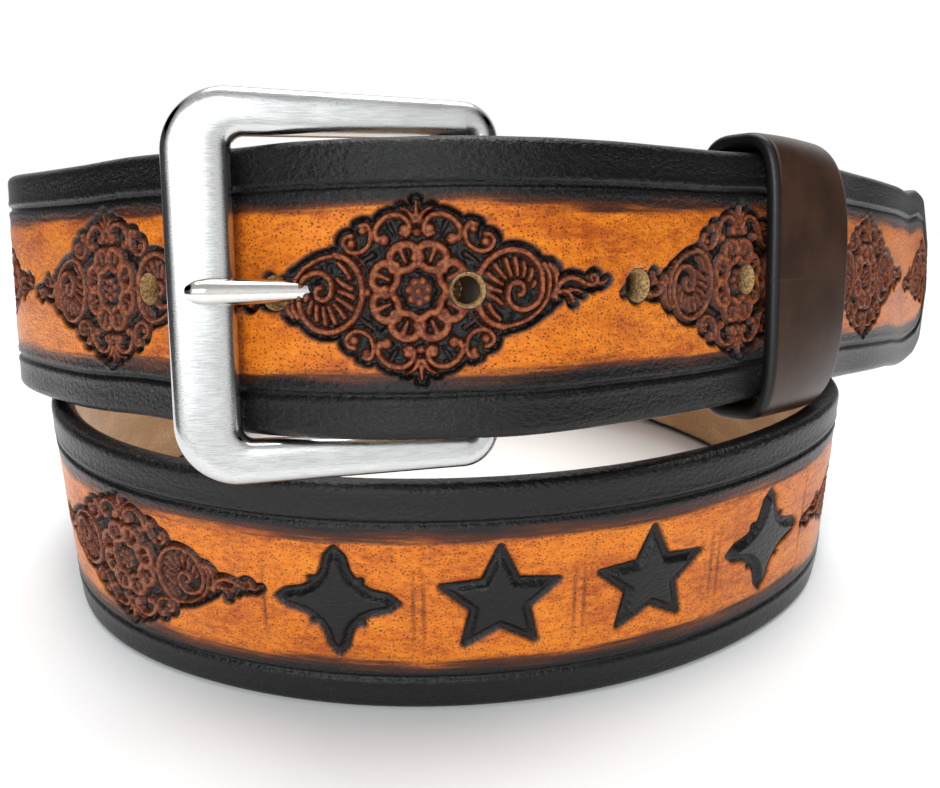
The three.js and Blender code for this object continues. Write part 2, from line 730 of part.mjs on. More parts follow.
// The keeper: a closed loop of leather round both layers of the strap. Its section is a squarish oval.
function keeperLoop(length, grow, share) {
  const sides = 24;
  const frame = frameAt(belt.frames, length);
  const middleUp = (keeperAbove - keeperBelow) / 2;
  const halfUp = (strapWidth + keeperAbove + keeperBelow) / 2;
  const halfOut = (layerPitch + strapThickness) / 2 + keeperGap;
  return Array.from({ length: sides }, (_, i) => {
    const angle = ((i + 0.5) / sides) * 2 * Math.PI;
    const [cos, sin] = [Math.cos(angle), Math.sin(angle)];
    const flare = cos > 0 ? share : 0;
    const half = halfOut + keeperFlare * flare;
    const power = 2 / mix(keeperSquareness, keeperFlareSquareness, flare);
    const oval = (value) => Math.sign(value) * Math.abs(value) ** power;
    const slope = (value, size) => (Math.sign(value) * Math.abs(value) ** (2 - power)) / size;
    const [normalOut, normalUp] = [slope(cos, half), slope(sin, halfUp)];
    const scale = grow / Math.hypot(normalOut, normalUp);
    const out = -layerPitch / 2 + oval(cos) * half + normalOut * scale;
    return offsetPoint(frame, out, middleUp + oval(sin) * halfUp + normalUp * scale);
  });
}

function keeperSolid() {
  const steps = 4;
  const start = prongHole + keeperStation;
  const rings = (grow, spare) =>
    Array.from({ length: steps + 1 }, (_, i) => {
      const share = i / steps;
      return keeperLoop(start + mix(-spare, keeperWidth + spare, share), grow, share);
    });
  return solidOf(loft(rings(keeperThickness, 0), false)).subtract(solidOf(loft(rings(0, 1), false)));
}

const part = new THREE.Group();
part.add(meshOf("strap", strapSolid(), leather));
part.add(meshOf("buckle_frame", frameSolid(), brushedNickel));
part.add(meshOf("prong", prongSolid(), polishedNickel));
part.add(meshOf("keeper", keeperSolid(), darkLeather));
postSpans().forEach((span, i) =>
  part.add(meshOf("fold_post_" + (i + 1), postSolid(span, 0), brushedNickel)),
);

// The origin is under the middle of the whole, on the surface that it stands on.
const box = new THREE.Box3().setFromObject(part);
const middle = box.getCenter(new THREE.Vector3());
part.position.set(-middle.x, -middle.y, -box.min.z);

export default part;
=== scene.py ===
"""The looks of a tooled leather belt that is buckled and stands wound in two turns.

The strap's path, the buckle and the keeper are worked out in millimetres from the same sizes and rows as
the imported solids. Every mesh is then moved to the solids' place and turned into metres.
"""

import math

import bpy
import numpy as np
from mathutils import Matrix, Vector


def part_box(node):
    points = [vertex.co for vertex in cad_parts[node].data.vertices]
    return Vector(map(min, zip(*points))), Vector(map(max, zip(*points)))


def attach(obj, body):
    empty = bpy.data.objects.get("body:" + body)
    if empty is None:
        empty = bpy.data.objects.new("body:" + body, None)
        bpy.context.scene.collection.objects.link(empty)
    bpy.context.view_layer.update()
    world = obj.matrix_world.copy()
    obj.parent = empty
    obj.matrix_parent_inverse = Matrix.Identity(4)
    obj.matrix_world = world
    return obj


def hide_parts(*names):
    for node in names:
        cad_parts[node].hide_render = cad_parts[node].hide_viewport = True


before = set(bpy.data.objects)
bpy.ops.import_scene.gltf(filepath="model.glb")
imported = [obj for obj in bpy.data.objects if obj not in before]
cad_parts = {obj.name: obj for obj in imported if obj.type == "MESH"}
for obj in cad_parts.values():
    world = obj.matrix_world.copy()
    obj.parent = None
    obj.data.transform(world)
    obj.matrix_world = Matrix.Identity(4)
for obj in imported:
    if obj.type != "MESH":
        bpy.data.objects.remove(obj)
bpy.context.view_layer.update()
METRES = 0.001

# Strap
STRAP_WIDTH = 38.1
STRAP_THICKNESS = 3.8
HALF_WIDTH = STRAP_WIDTH / 2
FACE = STRAP_THICKNESS / 2
EDGE_ROUND = 1.3
BORDER_INSET = 5.9
LAYER_GAP = 0.35
LAYER_PITCH = STRAP_THICKNESS + LAYER_GAP
WINDING_HALF_WIDTH = 77.7
WINDING_HALF_DEPTH = 66.2
HOLE_DIAMETER = 4.6
HOLE_TAPER = 0.5
HOLE_RIM = -0.4
HOLE_PITCH = 25
HOLES_BEFORE_PRONG = 1
HOLES_AFTER_PRONG = 3
LAST_HOLE_TO_TIP = 104
TIP_LENGTH = 12.5
TIP_SHOULDER = 0.86
TIP_BLUNT = 3.2

# Tooling
MOTIF_PITCH = 53.5
MOTIF_LENGTH = 48.4
MOTIF_HEIGHT = 22.7
MOTIF_OFFSET = 19
MOTIF_DEPTH = 0.8
STAMP_TURN = 376.5
STAMP_COUNT = 4
STAMP_PITCH = 23.7
STAMP_TO_MOTIF = 24.8

# Fold and posts
FOLD_LENGTH = 40
FOLD_BLEND = 13
SLOT_REACH = 7.4
POST_STATIONS = (18, 32)
POST_FLANGE_RADIUS = 3.8
POST_FLANGE_THICKNESS = 0.8
POST_SHAFT_RADIUS = 2
POST_INSET = 0.15

# Buckle
HEEL_TURN = 726.8
HEEL_BAR_RADIUS = 2
HEEL_GAP = 0.5
FRAME_REACH = 37.3
FRONT_BAR_WIDTH = 8.8
FRAME_BAR_WIDTH = 6.1
HEEL_SIDE_WIDTH = 4.85
FRAME_THICKNESS = 4.5
BAR_SQUARENESS = 0.62
FRAME_OUTER_RADIUS = 8.5
FRAME_HEEL_RADIUS = 5
FRAME_INNER_RADIUS = 1.6
HEEL_INNER_RADIUS = 0.5
FRAME_SIDE_GAP = 0.75
PRONG_EYE_HEIGHT = 5
PRONG_EYE_WALL = 1.5
PRONG_SHANK_RADIUS = 1.4
PRONG_BULB_RADIUS = 1.85
PRONG_PAST_BAR = 1.6
PRONG_REST = 0.55
PRONG_LEAD = 1.3

# Keeper
KEEPER_STATION = 77
KEEPER_WIDTH = 18
KEEPER_THICKNESS = 2.2
KEEPER_GAP = 1.15
KEEPER_FLARE = 3.2
KEEPER_ABOVE = 1
KEEPER_BELOW = 1.5
KEEPER_SQUARENESS = 5
KEEPER_FLARE_SQUARENESS = 3

# The winding: turn in degrees from its front, reach as a share of the half axes, rise as a share of the
# strap's width, and the degrees that the strap's upper edge leans back and left.
WINDING_ROWS = (
    (77, 0.868, 1.48, 13, 0),
    (93, 0.848, 1.36, 12, 0),
    (110, 0.865, 1.2, 10, 0),
    (135, 0.908, 1.0, 8, 0),
    (160, 0.935, 0.86, 6, 0),
    (182, 0.935, 0.765, 4, 0),
    (205, 0.93, 0.66, 3, 0),
    (232, 0.92, 0.555, 1, 0),
    (258, 0.925, 0.503, 0, 0),
    (278, 0.935, 0.5, 0, 0),
    (292, 0.953, 0.5, 0, 0),
    (306, 0.992, 0.5, 0, 0),
    (320, 1.014, 0.5, 0, 0),
    (333, 1.012, 0.5, 0, 0),
    (351, 1.002, 0.5, 0, 0),
    (374, 0.992, 0.5, 0, 0),
    (390, 0.993, 0.5, 0, 0),
    (407, 1.0, 0.5, 0, 0),
    (424, 1.003, 0.5, 0, 0),
    (434, 0.985, 0.503, 0, 5),
    (446, 0.963, 0.507, 0, 10),
    (460, 0.958, 0.508, 0, 10),
    (475, 0.975, 0.505, 0, 5),
    (489, 1.003, 0.506, 0, 1),
    (503, 1.016, 0.53, 0, 0),
    (522, 1.02, 0.615, 3, 0),
    (542, 1.022, 0.77, 5, 0),
    (562, 1.025, 0.93, 7, 0),
    (585, 1.035, 1.1, 9, 0),
    (608, 1.05, 1.245, 11, 0),
    (630, 1.045, 1.345, 12, 0),
    (645, 1.01, 1.437, 13, 0),
    (660, 0.95, 1.505, 13, 0),
    (673, 0.925, 1.563, 13, 0),
    (684, 0.921, 1.617, 13, 0),
    (693, 0.942, 1.65, 13, 0),
    (701, 0.974, 1.677, 13, 0),
    (709, 1.012, 1.711, 13, 0),
    (716, 1.03, 1.728, 13, 0),
    (723, 1.031, 1.735, 13, 0),
    (730, 1.015, 1.726, 13, 0),
    (738, 0.972, 1.703, 13, 0),
    (747, 0.929, 1.669, 13, 0),
    (757, 0.898, 1.632, 13, 0),
    (768, 0.89, 1.598, 13, 0),
    (781, 0.91, 1.54, 13, 0),
    (792, 0.95, 1.482, 13, 0),
    (800, 1.005, 1.432, 13, 0),
    (808, 1.097, 1.372, 13, 0),
    (816, 1.222, 1.3, 13, 0),
    (823, 1.37, 1.222, 13, 0),
)
TURN_STEP = 0.5
UPPER_FROM = 600
INNER_TURNS = range(8, 65, 6)


def unit(vectors):
    return vectors / np.linalg.norm(vectors, axis=-1, keepdims=True)


def mix(a, b, share):
    return a + (b - a) * share


def smooth(low, high, value):
    """0 below low, 1 above high and a smooth step between them."""
    share = np.clip((value - low) / (high - low), 0, 1)
    return share * share * (3 - 2 * share)


def natural_spline(keys, values):
    """Values of the natural cubic spline through the rows, at every turn step."""
    count = len(keys)
    gaps = np.diff(keys)
    rates = np.diff(values, axis=0) / gaps[:, None]
    system = np.eye(count)
    right = np.zeros_like(values)
    for i in range(1, count - 1):
        system[i, i - 1 : i + 2] = gaps[i - 1], 2 * (gaps[i - 1] + gaps[i]), gaps[i]
        right[i] = 6 * (rates[i] - rates[i - 1])
    bends = np.linalg.solve(system, right)

    def at(turns):
        i = np.clip(np.searchsorted(keys, turns) - 1, 0, count - 2)
        a = ((keys[i + 1] - turns) / gaps[i])[:, None]
        b = 1 - a
        curve = (a**3 - a) * bends[i] + (b**3 - b) * bends[i + 1]
        return a * values[i] + b * values[i + 1] + curve * (gaps[i] ** 2)[:, None] / 6

    return at


def level_curve(keys, values):
    """Cubic pieces through the rows that never overshoot one, so that level stretches stay level."""
    gaps = np.diff(keys)
    rates = np.diff(values, axis=0) / gaps[:, None]
    slopes = np.zeros_like(values)
    before, after = rates[:-1], rates[1:]
    same_way = before * after > 0
    product = np.where(same_way, before * after, 0)
    slopes[1:-1] = 2 * product / np.where(same_way, before + after, 1)

    def at(turns):
        i = np.clip(np.searchsorted(keys, turns) - 1, 0, len(keys) - 2)
        b = ((turns - keys[i]) / gaps[i])[:, None]
        blend = b * b * (3 - 2 * b)
        bow = (slopes[i] * (1 - b) - slopes[i + 1] * b) * gaps[i][:, None] * b * (1 - b)
        return mix(values[i], values[i + 1], blend) + bow

    return at


class Stations:
    """Places on the strap's middle line: a centre each, and the directions along, across and out."""

    def __init__(self, centre, along, lean):
        self.centre = centre
        self.along = along
        self.lean = lean
        self.across = unit(lean - np.sum(lean * along, axis=-1, keepdims=True) * along)
        self.out = np.cross(along, self.across)

    def offset(self, outward, upward=0):
        """Points that far out of the face and up across the strap from the centres."""
        outward = np.asarray(outward, float)[..., None]
        upward = np.asarray(upward, float)[..., None]
        return self.centre + self.out * outward + self.across * upward


class Line(Stations):
    """The strap's middle line as a row of stations with the length along it."""

    def __init__(self, turn, centre, lean, along=None):
        if along is None:
            along = unit(np.gradient(centre, axis=0))
        super().__init__(centre, along, lean)
        self.turn = turn
        steps = np.linalg.norm(np.diff(centre, axis=0), axis=1)
        self.length = np.concatenate([[0], np.cumsum(steps)])

    def part(self, kept):
        return Line(self.turn[kept], self.centre[kept], self.lean[kept], self.along[kept])

    def at(self, length):
        """Stations at lengths along the line, carried on straight past its ends."""
        length = np.asarray(length, float)
        i = np.clip(np.searchsorted(self.length, length) - 1, 0, len(self.length) - 2)
        span = (self.length[i + 1] - self.length[i])[..., None]
        share = (length[..., None] - self.length[i][..., None]) / span
        h = np.clip(share, 0, 1)
        start, end = self.along[i] * span, self.along[i + 1] * span
        centre = mix(self.centre[i], self.centre[i + 1], h * h * (3 - 2 * h))
        centre = centre + h * (1 - h) * (start * (1 - h) - end * h)
        along = unit(mix(self.along[i], self.along[i + 1], h))
        centre = centre + along * (share - h) * span
        return Stations(centre, along, mix(self.lean[i], self.lean[i + 1], h))

    def length_at_turn(self, turn):
        return self.length[np.argmax(self.turn >= turn)]


def placed_rows():
    """The rows as turns, points in plan, and height with the lean of the upper edge."""
    turn, reach, rise, back, left = np.array(WINDING_ROWS, float).T
    angle = np.radians(turn)
    plan = np.stack(
        [WINDING_HALF_WIDTH * reach * np.sin(angle), -WINDING_HALF_DEPTH * reach * np.cos(angle)], axis=1
    )
    stand = np.stack([rise * STRAP_WIDTH, -np.tan(np.radians(left)), np.tan(np.radians(back))], axis=1)
    return turn, plan, stand


def sampled(turn, plan, stand):
    turns = np.arange(turn[0], turn[-1] + TURN_STEP / 2, TURN_STEP)
    flat = natural_spline(turn, plan)(turns)
    height, lean_x, lean_y = level_curve(turn, stand)(turns).T
    centre = np.column_stack([flat, height])
    lean = np.column_stack([lean_x, lean_y, np.ones(len(turns))])
    return Line(turns, centre, lean)


row_turn, row_plan, row_stand = placed_rows()
outer_rows = row_turn >= UPPER_FROM
outer_end = sampled(row_turn[outer_rows], row_plan[outer_rows], row_stand[outer_rows])


def whole_line():
    """The line from the inner end, which lies one layer under the outer end, to the tip."""
    inner = [np.argmax(outer_end.turn >= turn + 360 * 2) for turn in INNER_TURNS]
    under = outer_end.offset(-LAYER_PITCH)[inner]
    lean = outer_end.lean[inner]
    turn = np.concatenate([np.array(INNER_TURNS, float), row_turn])
    plan = np.concatenate([under[:, :2], row_plan])
    stand = np.concatenate([np.column_stack([under[:, 2], lean[:, :2]]), row_stand])
    return sampled(turn, plan, stand)


heel = outer_end.part(slice(np.argmax(outer_end.turn >= HEEL_TURN), None))
HEEL_ALONG, HEEL_ACROSS, HEEL_OUT, HEEL_LEAN = heel.along[0], heel.across[0], heel.out[0], heel.lean[0]
WRAP_RADIUS = HEEL_BAR_RADIUS + HEEL_GAP + FACE
HEEL_CENTRE = heel.offset(-(LAYER_PITCH + WRAP_RADIUS))[0]


def turned(vector, axis, angle):
    """A vector turned about a unit axis."""
    cos, sin = math.cos(angle), math.sin(angle)
    return vector * cos + np.cross(axis, vector) * sin + axis * np.dot(axis, vector) * (1 - cos)


def squared(angle, power):
    """Cosine and sine of a rounded square's outline."""
    cos, sin = np.cos(angle), np.sin(angle)
    return np.sign(cos) * np.abs(cos) ** power, np.sign(sin) * np.abs(sin) ** power


def buckle_axes():
    """Directions of the reach to the front bar, up, and out: the front bar rests on the strap."""
    under = outer_end.part((outer_end.centre[:, 0] < HEEL_CENTRE[0]) & (outer_end.turn > UPPER_FROM))
    across, depth = squared(np.arange(24) / 24 * 2 * math.pi, BAR_SQUARENESS)

    def clear_at(angle):
        reach = turned(-HEEL_ALONG, HEEL_ACROSS, angle)
        out = turned(HEEL_OUT, HEEL_ACROSS, angle)
        points = (
            HEEL_CENTRE
            + np.outer(FRAME_REACH + across * FRONT_BAR_WIDTH / 2, reach)
            + np.outer(depth * FRAME_THICKNESS / 2, out)
        )
        away = points[:, None] - under.centre
        beside = np.abs(np.sum(away * under.along, axis=2)) <= 1
        return np.sum(away * under.out, axis=2)[beside].min(), reach, out

    low, high = math.radians(-40), math.radians(40)
    for _ in range(30):
        middle = (low + high) / 2
        if clear_at(middle)[0] > FACE + LAYER_GAP:
            high = middle
        else:
            low = middle
    _, reach, out = clear_at(high)
    return reach, HEEL_ACROSS, out


BUCKLE_REACH, BUCKLE_UP, BUCKLE_OUT = buckle_axes()


def buckle_point(reach, up, out):
    reach, up, out = (part[..., None] for part in np.broadcast_arrays(reach, up, out))
    return HEEL_CENTRE + reach * BUCKLE_REACH + up * BUCKLE_UP + out * BUCKLE_OUT


PRONG_LIFT = FRAME_THICKNESS / 2 + PRONG_BULB_RADIUS + PRONG_REST
PRONG_END = FRAME_REACH + PRONG_PAST_BAR


def prong_turn():
    """Where the prong's axis leaves the outer end's face."""
    away = outer_end.offset(FACE) - HEEL_CENTRE
    side = away @ BUCKLE_OUT - PRONG_LIFT * (away @ BUCKLE_REACH) / FRAME_REACH
    return outer_end.turn[np.flatnonzero((outer_end.turn < HEEL_TURN) & (side < 0))[-1]]


def belt_line():
    """The whole strap's line: the folded end, round the heel bar, then the winding to the tip."""
    main = whole_line()
    run = main.part(slice(np.argmax((main.centre - HEEL_CENTRE) @ HEEL_ALONG > 0), None))
    fold_steps = 12
    lengths = FOLD_LENGTH * (1 - np.arange(fold_steps + 1) / fold_steps)
    depth = LAYER_PITCH + (2 * WRAP_RADIUS - LAYER_PITCH) * (1 - smooth(0, FOLD_BLEND, lengths))
    folded = run.at(lengths)
    wrap_steps = 10
    angle = np.arange(1, wrap_steps) / wrap_steps * math.pi
    wrap = HEEL_CENTRE - np.outer(np.cos(angle), HEEL_OUT * WRAP_RADIUS)
    wrap = wrap - np.outer(np.sin(angle), HEEL_ALONG * WRAP_RADIUS)
    turn = np.concatenate([np.full(len(lengths) + len(wrap), run.turn[0]), run.turn])
    centre = np.concatenate([folded.offset(-depth), wrap, run.centre])
    lean = np.concatenate([folded.lean, np.tile(HEEL_LEAN, (len(wrap), 1)), run.lean])
    return Line(turn, centre, lean), len(lengths) + len(wrap)


belt, fold_count = belt_line()
HEEL_LENGTH = belt.length[fold_count]


def length_at_turn(turn):
    return belt.part(slice(fold_count, None)).length_at_turn(turn) + HEEL_LENGTH


PRONG_HOLE = length_at_turn(prong_turn()) - PRONG_LEAD
BELT_END = PRONG_HOLE + HOLES_AFTER_PRONG * HOLE_PITCH + LAST_HOLE_TO_TIP


def place_of_solids():
    """What moves this script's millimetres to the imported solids: a post's middle is at the same place."""
    low, high = (np.array(corner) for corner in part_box("fold_post_1"))
    post = belt.at(HEEL_LENGTH + POST_STATIONS[0]).offset(-LAYER_PITCH / 2)
    return (low + high) / 2 / METRES - post


SHIFT = place_of_solids()


# Meshes


def hand_over(piece, slot, *nodes):
    """Puts a finished piece on the belt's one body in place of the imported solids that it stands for."""
    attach(piece, "root")
    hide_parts(*nodes)


def ring_mesh(name, rings, materials, closed=False, face_material=None, attributes=None, crease=75):
    """A piece skinned over rings of points in millimetres; an open row of rings gets flat ends."""
    ring_count, size = rings.shape[:2]
    i = np.arange(ring_count if closed else ring_count - 1)[:, None]
    j = np.arange(size)[None, :]
    after_i, after_j = (i + 1) % ring_count, (j + 1) % size
    near, far = i * size, after_i * size
    quads = np.stack([near + j, near + after_j, far + after_j, far + j], axis=2).reshape(-1, 4)
    corners = quads.ravel()
    starts = np.arange(0, len(corners), 4)
    chosen = np.zeros(len(quads), int) if face_material is None else np.tile(face_material, len(i))
    if not closed:
        end = (ring_count - 1) * size
        corners = np.concatenate([corners, np.arange(size)[::-1], end + np.arange(size)])
        starts = np.concatenate([starts, [len(quads) * 4, len(quads) * 4 + size]])
        chosen = np.concatenate([chosen, [0, 0]])
    mesh = bpy.data.meshes.new(name)
    mesh.vertices.add(ring_count * size)
    mesh.vertices.foreach_set("co", ((rings.reshape(-1, 3) + SHIFT) * METRES).astype(np.float32).ravel())
    mesh.loops.add(len(corners))
    mesh.loops.foreach_set("vertex_index", corners.astype(np.int32))
    mesh.polygons.add(len(starts))
    mesh.polygons.foreach_set("loop_start", starts.astype(np.int32))
    mesh.polygons.foreach_set("material_index", chosen.astype(np.int32))
    mesh.update(calc_edges=True)
    for key, values in (attributes or {}).items():
        vector = values.ndim == 3
        layer = mesh.attributes.new(key, "FLOAT_VECTOR" if vector else "FLOAT", "POINT")
        layer.data.foreach_set("vector" if vector else "value", values.astype(np.float32).ravel())
    for material in materials:
        mesh.materials.append(material)
    mesh.shade_smooth()
    mesh.set_sharp_from_angle(angle=math.radians(crease))
    mesh.validate()
    piece = bpy.data.objects.new(name, mesh)
    bpy.context.scene.collection.objects.link(piece)
    return piece


def combine(piece, others, operation):
    """Takes others out of a piece or joins them to it; their faces keep their own material."""
    for other in others:
        modifier = piece.modifiers.new("combine", "BOOLEAN")
        modifier.operation = operation
        modifier.solver = "EXACT"
        modifier.material_mode = "TRANSFER"
        modifier.object = other
        with bpy.context.temp_override(object=piece, active_object=piece, selected_objects=[piece]):
            bpy.ops.object.modifier_apply(modifier=modifier.name)
        bpy.data.objects.remove(other)


# Node materials


class Shader:
    """A material's nodes, added with one call each."""

    def __init__(self, name, **fixed):
        self.material = bpy.data.materials.new(name)
        self.material.use_nodes = True
        self.nodes = self.material.node_tree.nodes
        self.links = self.material.node_tree.links
        self.surface = self.nodes["Principled BSDF"]
        for key, value in fixed.items():
            self.surface.inputs[key.replace("_", " ")].default_value = value

    def add(self, kind, inputs=None, **settings):
        """A node with its settings; inputs is {socket name or number: value or another socket}."""
        node = self.nodes.new(kind)
        for key, value in settings.items():
            setattr(node, key, value)
        for key, value in (inputs or {}).items():
            self.put(node.inputs[key], value)
        return node

    def put(self, socket, value):
        if isinstance(value, bpy.types.NodeSocket):
            self.links.new(value, socket)
        else:
            socket.default_value = value

    def attribute(self, name, part="Fac"):
        return self.add("ShaderNodeAttribute", attribute_name=name).outputs[part]

    def split(self, vector):
        return self.add("ShaderNodeSeparateXYZ", {0: vector}).outputs

    def stretched(self, vector, scale):
        return self.add("ShaderNodeMapping", {"Vector": vector, "Scale": scale}).outputs[0]

    def math(self, operation, a, b=0.0, clamp=False):
        node = self.add("ShaderNodeMath", {0: a, 1: b}, operation=operation, use_clamp=clamp)
        return node.outputs[0]

    def noise(self, vector, scale, detail, roughness):
        inputs = {"Vector": self.stretched(vector, scale), "Scale": 1, "Detail": detail, "Roughness": roughness}
        return self.add("ShaderNodeTexNoise", inputs).outputs[0]

    def cells(self, vector, scale, feature="F1"):
        inputs = {"Vector": self.stretched(vector, scale), "Scale": 1}
        return self.add("ShaderNodeTexVoronoi", inputs, feature=feature).outputs["Distance"]

    def step(self, value, low, high, to_low=0.0, to_high=1.0):
        """A smooth step of a value between two limits."""
        inputs = {"Value": value, "From Min": low, "From Max": high, "To Min": to_low, "To Max": to_high}
        node = self.add("ShaderNodeMapRange", inputs, interpolation_type="SMOOTHSTEP")
        return node.outputs[0]

    def blend(self, share, a, b):
        """Colour a where share is 0 and b where it is 1."""
        node = self.add("ShaderNodeMix", data_type="RGBA")
        for socket, value in ((node.inputs[0], share), (node.inputs[6], a), (node.inputs[7], b)):
            if isinstance(value, tuple):
                value = (*value, 1)
            self.put(socket, value)
        return node.outputs[2]

    def bump(self, height, distance, strength):
        inputs = {"Height": height, "Distance": distance * METRES, "Strength": strength}
        return self.add("ShaderNodeBump", inputs).outputs[0]

    def paint(self, **sockets):
        for key, value in sockets.items():
            self.put(self.surface.inputs[key.replace("_", " ")], value)
        return self.material


ORANGE = (0.74, 0.195, 0.008)
DEEP_ORANGE = (0.42, 0.075, 0.004)
PALE_ORANGE = (0.84, 0.29, 0.02)
STREAK_BROWN = (0.075, 0.018, 0.006)
DYE_BLACK = (0.0055, 0.0048, 0.0052)
# Raised tooled lines: the lighter crest colour is a painted highlight; the darker colour is random mottle on
# the crests and painted shade on the flanks.
TOOLED_HIGHLIT_CREST = (0.36, 0.105, 0.032)
TOOLED_MOTTLE_AND_SHADE = (0.13, 0.026, 0.009)
PORE_BROWN = (0.045, 0.01, 0.003)
FLESH_TAN = (0.5, 0.3, 0.15)
FLESH_PALE = (0.66, 0.43, 0.24)
FLESH_FIBRE = (0.24, 0.13, 0.065)
RAW_DARK = (0.2, 0.1, 0.04)
RAW_TAN = (0.6, 0.4, 0.18)
KEEPER_DARK = (0.03, 0.0135, 0.0075)
KEEPER_BROWN = (0.052, 0.024, 0.013)
SATIN_DARK = (0.52, 0.525, 0.52)
SATIN_BRIGHT = (0.64, 0.645, 0.64)
POLISH_BRIGHT = (0.74, 0.72, 0.69)
POLISH_WORN = (0.66, 0.64, 0.61)
# Painted shade: the prong's eye is coloured dark because it sits in the shade of the fold.
PRONG_EYE_SHADE = (0.045, 0.035, 0.028)


def tooled_leather():
    """Outer face and rim: orange centre with pores, streaky black borders and black-dyed tooling."""
    shader = Shader("tooled_leather", Specular_IOR_Level=0.3)
    place = shader.attribute("place", "Vector")
    _, across, side = shader.split(place)
    tooled = shader.attribute("dye")
    raised = shader.attribute("raised")
    away = shader.math("ABSOLUTE", across)

    patches = shader.noise(place, (0.09, 0.2, 0.2), 3.0, 0.6)
    mottle = shader.noise(place, (0.5, 1.1, 0.9), 4.0, 0.65)
    tone = shader.math("ADD", shader.math("MULTIPLY", patches, 0.5), shader.math("MULTIPLY", mottle, 0.5))
    colour = shader.blend(shader.step(tone, 0.34, 0.58), DEEP_ORANGE, ORANGE)
    colour = shader.blend(shader.step(tone, 0.55, 0.72), colour, PALE_ORANGE)
    dots = shader.step(shader.cells(place, (2.1, 2.6, 2.4)), 0.42, 0.2)
    thick = shader.step(shader.noise(place, (0.7, 1.0, 1.0), 3.0, 0.6), 0.35, 0.6, 0.35, 1.0)
    pores = shader.math("MULTIPLY", dots, thick)
    colour = shader.blend(shader.math("MULTIPLY", pores, 0.9), colour, PORE_BROWN)
    # Raised lines: a random worn mottle on the crests, a lighter crest as painted highlight, and darker flanks
    # as painted shade.
    worn = shader.noise(place, (1.6, 1.6, 1.6), 4.0, 0.7)
    crest_light_and_shade = shader.blend(shader.step(worn, 0.4, 0.62), TOOLED_MOTTLE_AND_SHADE, TOOLED_HIGHLIT_CREST)
    crest_light_and_shade = shader.blend(shader.step(raised, 0.62, 0.98), TOOLED_MOTTLE_AND_SHADE, crest_light_and_shade)
    colour = shader.blend(shader.step(raised, 0.12, 0.4), colour, crest_light_and_shade)

    streaks = shader.noise(place, (0.035, 0.6, 0.4), 5.0, 0.7)
    wander = shader.noise(place, (0.05, 0.0, 0.0), 2.0, 0.5)
    reach = shader.math("ADD", away, shader.math("MULTIPLY", shader.math("SUBTRACT", streaks, 0.5), 5.0))
    reach = shader.math("ADD", reach, shader.math("MULTIPLY", shader.math("SUBTRACT", wander, 0.5), 3.0))
    stained = shader.step(reach, 9.4, 11.0)
    stained = shader.math("SUBTRACT", stained, shader.step(raised, 0.1, 0.4), clamp=True)
    colour = shader.blend(stained, colour, STREAK_BROWN)
    border = shader.step(reach, 10.6, 12.2)
    rim = shader.step(side, 0.97, 0.9)
    solid_border = shader.step(away, 11.6, 13.0)
    dark = shader.math("MAXIMUM", shader.math("MAXIMUM", border, solid_border), rim)
    dark = shader.math("MAXIMUM", dark, tooled)
    colour = shader.blend(dark, colour, DYE_BLACK)

    pebbles = shader.cells(place, (1.3, 1.9, 1.7), feature="SMOOTH_F1")
    fine = shader.noise(place, (3.2, 4.2, 4.0), 3.0, 0.6)
    relief = shader.math("SUBTRACT", fine, shader.math("MULTIPLY", pebbles, 1.2))
    relief = shader.math("SUBTRACT", relief, shader.math("MULTIPLY", pores, 0.3))
    normal = shader.bump(relief, 0.16, 0.75)
    rough = shader.math("ADD", shader.math("MULTIPLY", fine, 0.2), shader.step(tooled, 0.2, 1.0, 0.2, 0.14))
    return shader.paint(Base_Color=colour, Roughness=rough, Normal=normal)


def flesh_side():
    """Back of the leather: tan suede that darkens to the burnished rim."""
    shader = Shader("flesh_side", Roughness=0.95, Specular_IOR_Level=0.2, Sheen_Weight=0.3)
    place = shader.attribute("place", "Vector")
    _, across, _ = shader.split(place)
    away = shader.math("ABSOLUTE", across)
    fibres = shader.noise(place, (1.4, 2.0, 2.0), 5.0, 0.7)
    clouds = shader.noise(place, (0.05, 0.11, 0.1), 3.0, 0.6)
    colour = shader.blend(shader.step(clouds, 0.35, 0.65), FLESH_TAN, FLESH_PALE)
    colour = shader.blend(shader.step(fibres, 0.4, 0.65, 0.0, 0.5), colour, FLESH_FIBRE)
    bleed = shader.math("ADD", away, shader.math("MULTIPLY", shader.math("SUBTRACT", fibres, 0.5), 1.6))
    colour = shader.blend(shader.step(bleed, 17.2, 18.2), colour, DYE_BLACK)
    return shader.paint(Base_Color=colour, Normal=shader.bump(fibres, 0.16, 0.7))


def raw_leather():
    """Walls of punched holes."""
    shader = Shader("raw_leather", Roughness=0.95, Specular_IOR_Level=0.15)
    place = shader.add("ShaderNodeTexCoord").outputs["Object"]
    fibres = shader.noise(place, (2600, 2600, 2600), 4.0, 0.7)
    colour = shader.blend(shader.step(fibres, 0.35, 0.65), RAW_DARK, RAW_TAN)
    return shader.paint(Base_Color=colour, Normal=shader.bump(fibres, 0.25, 0.9))


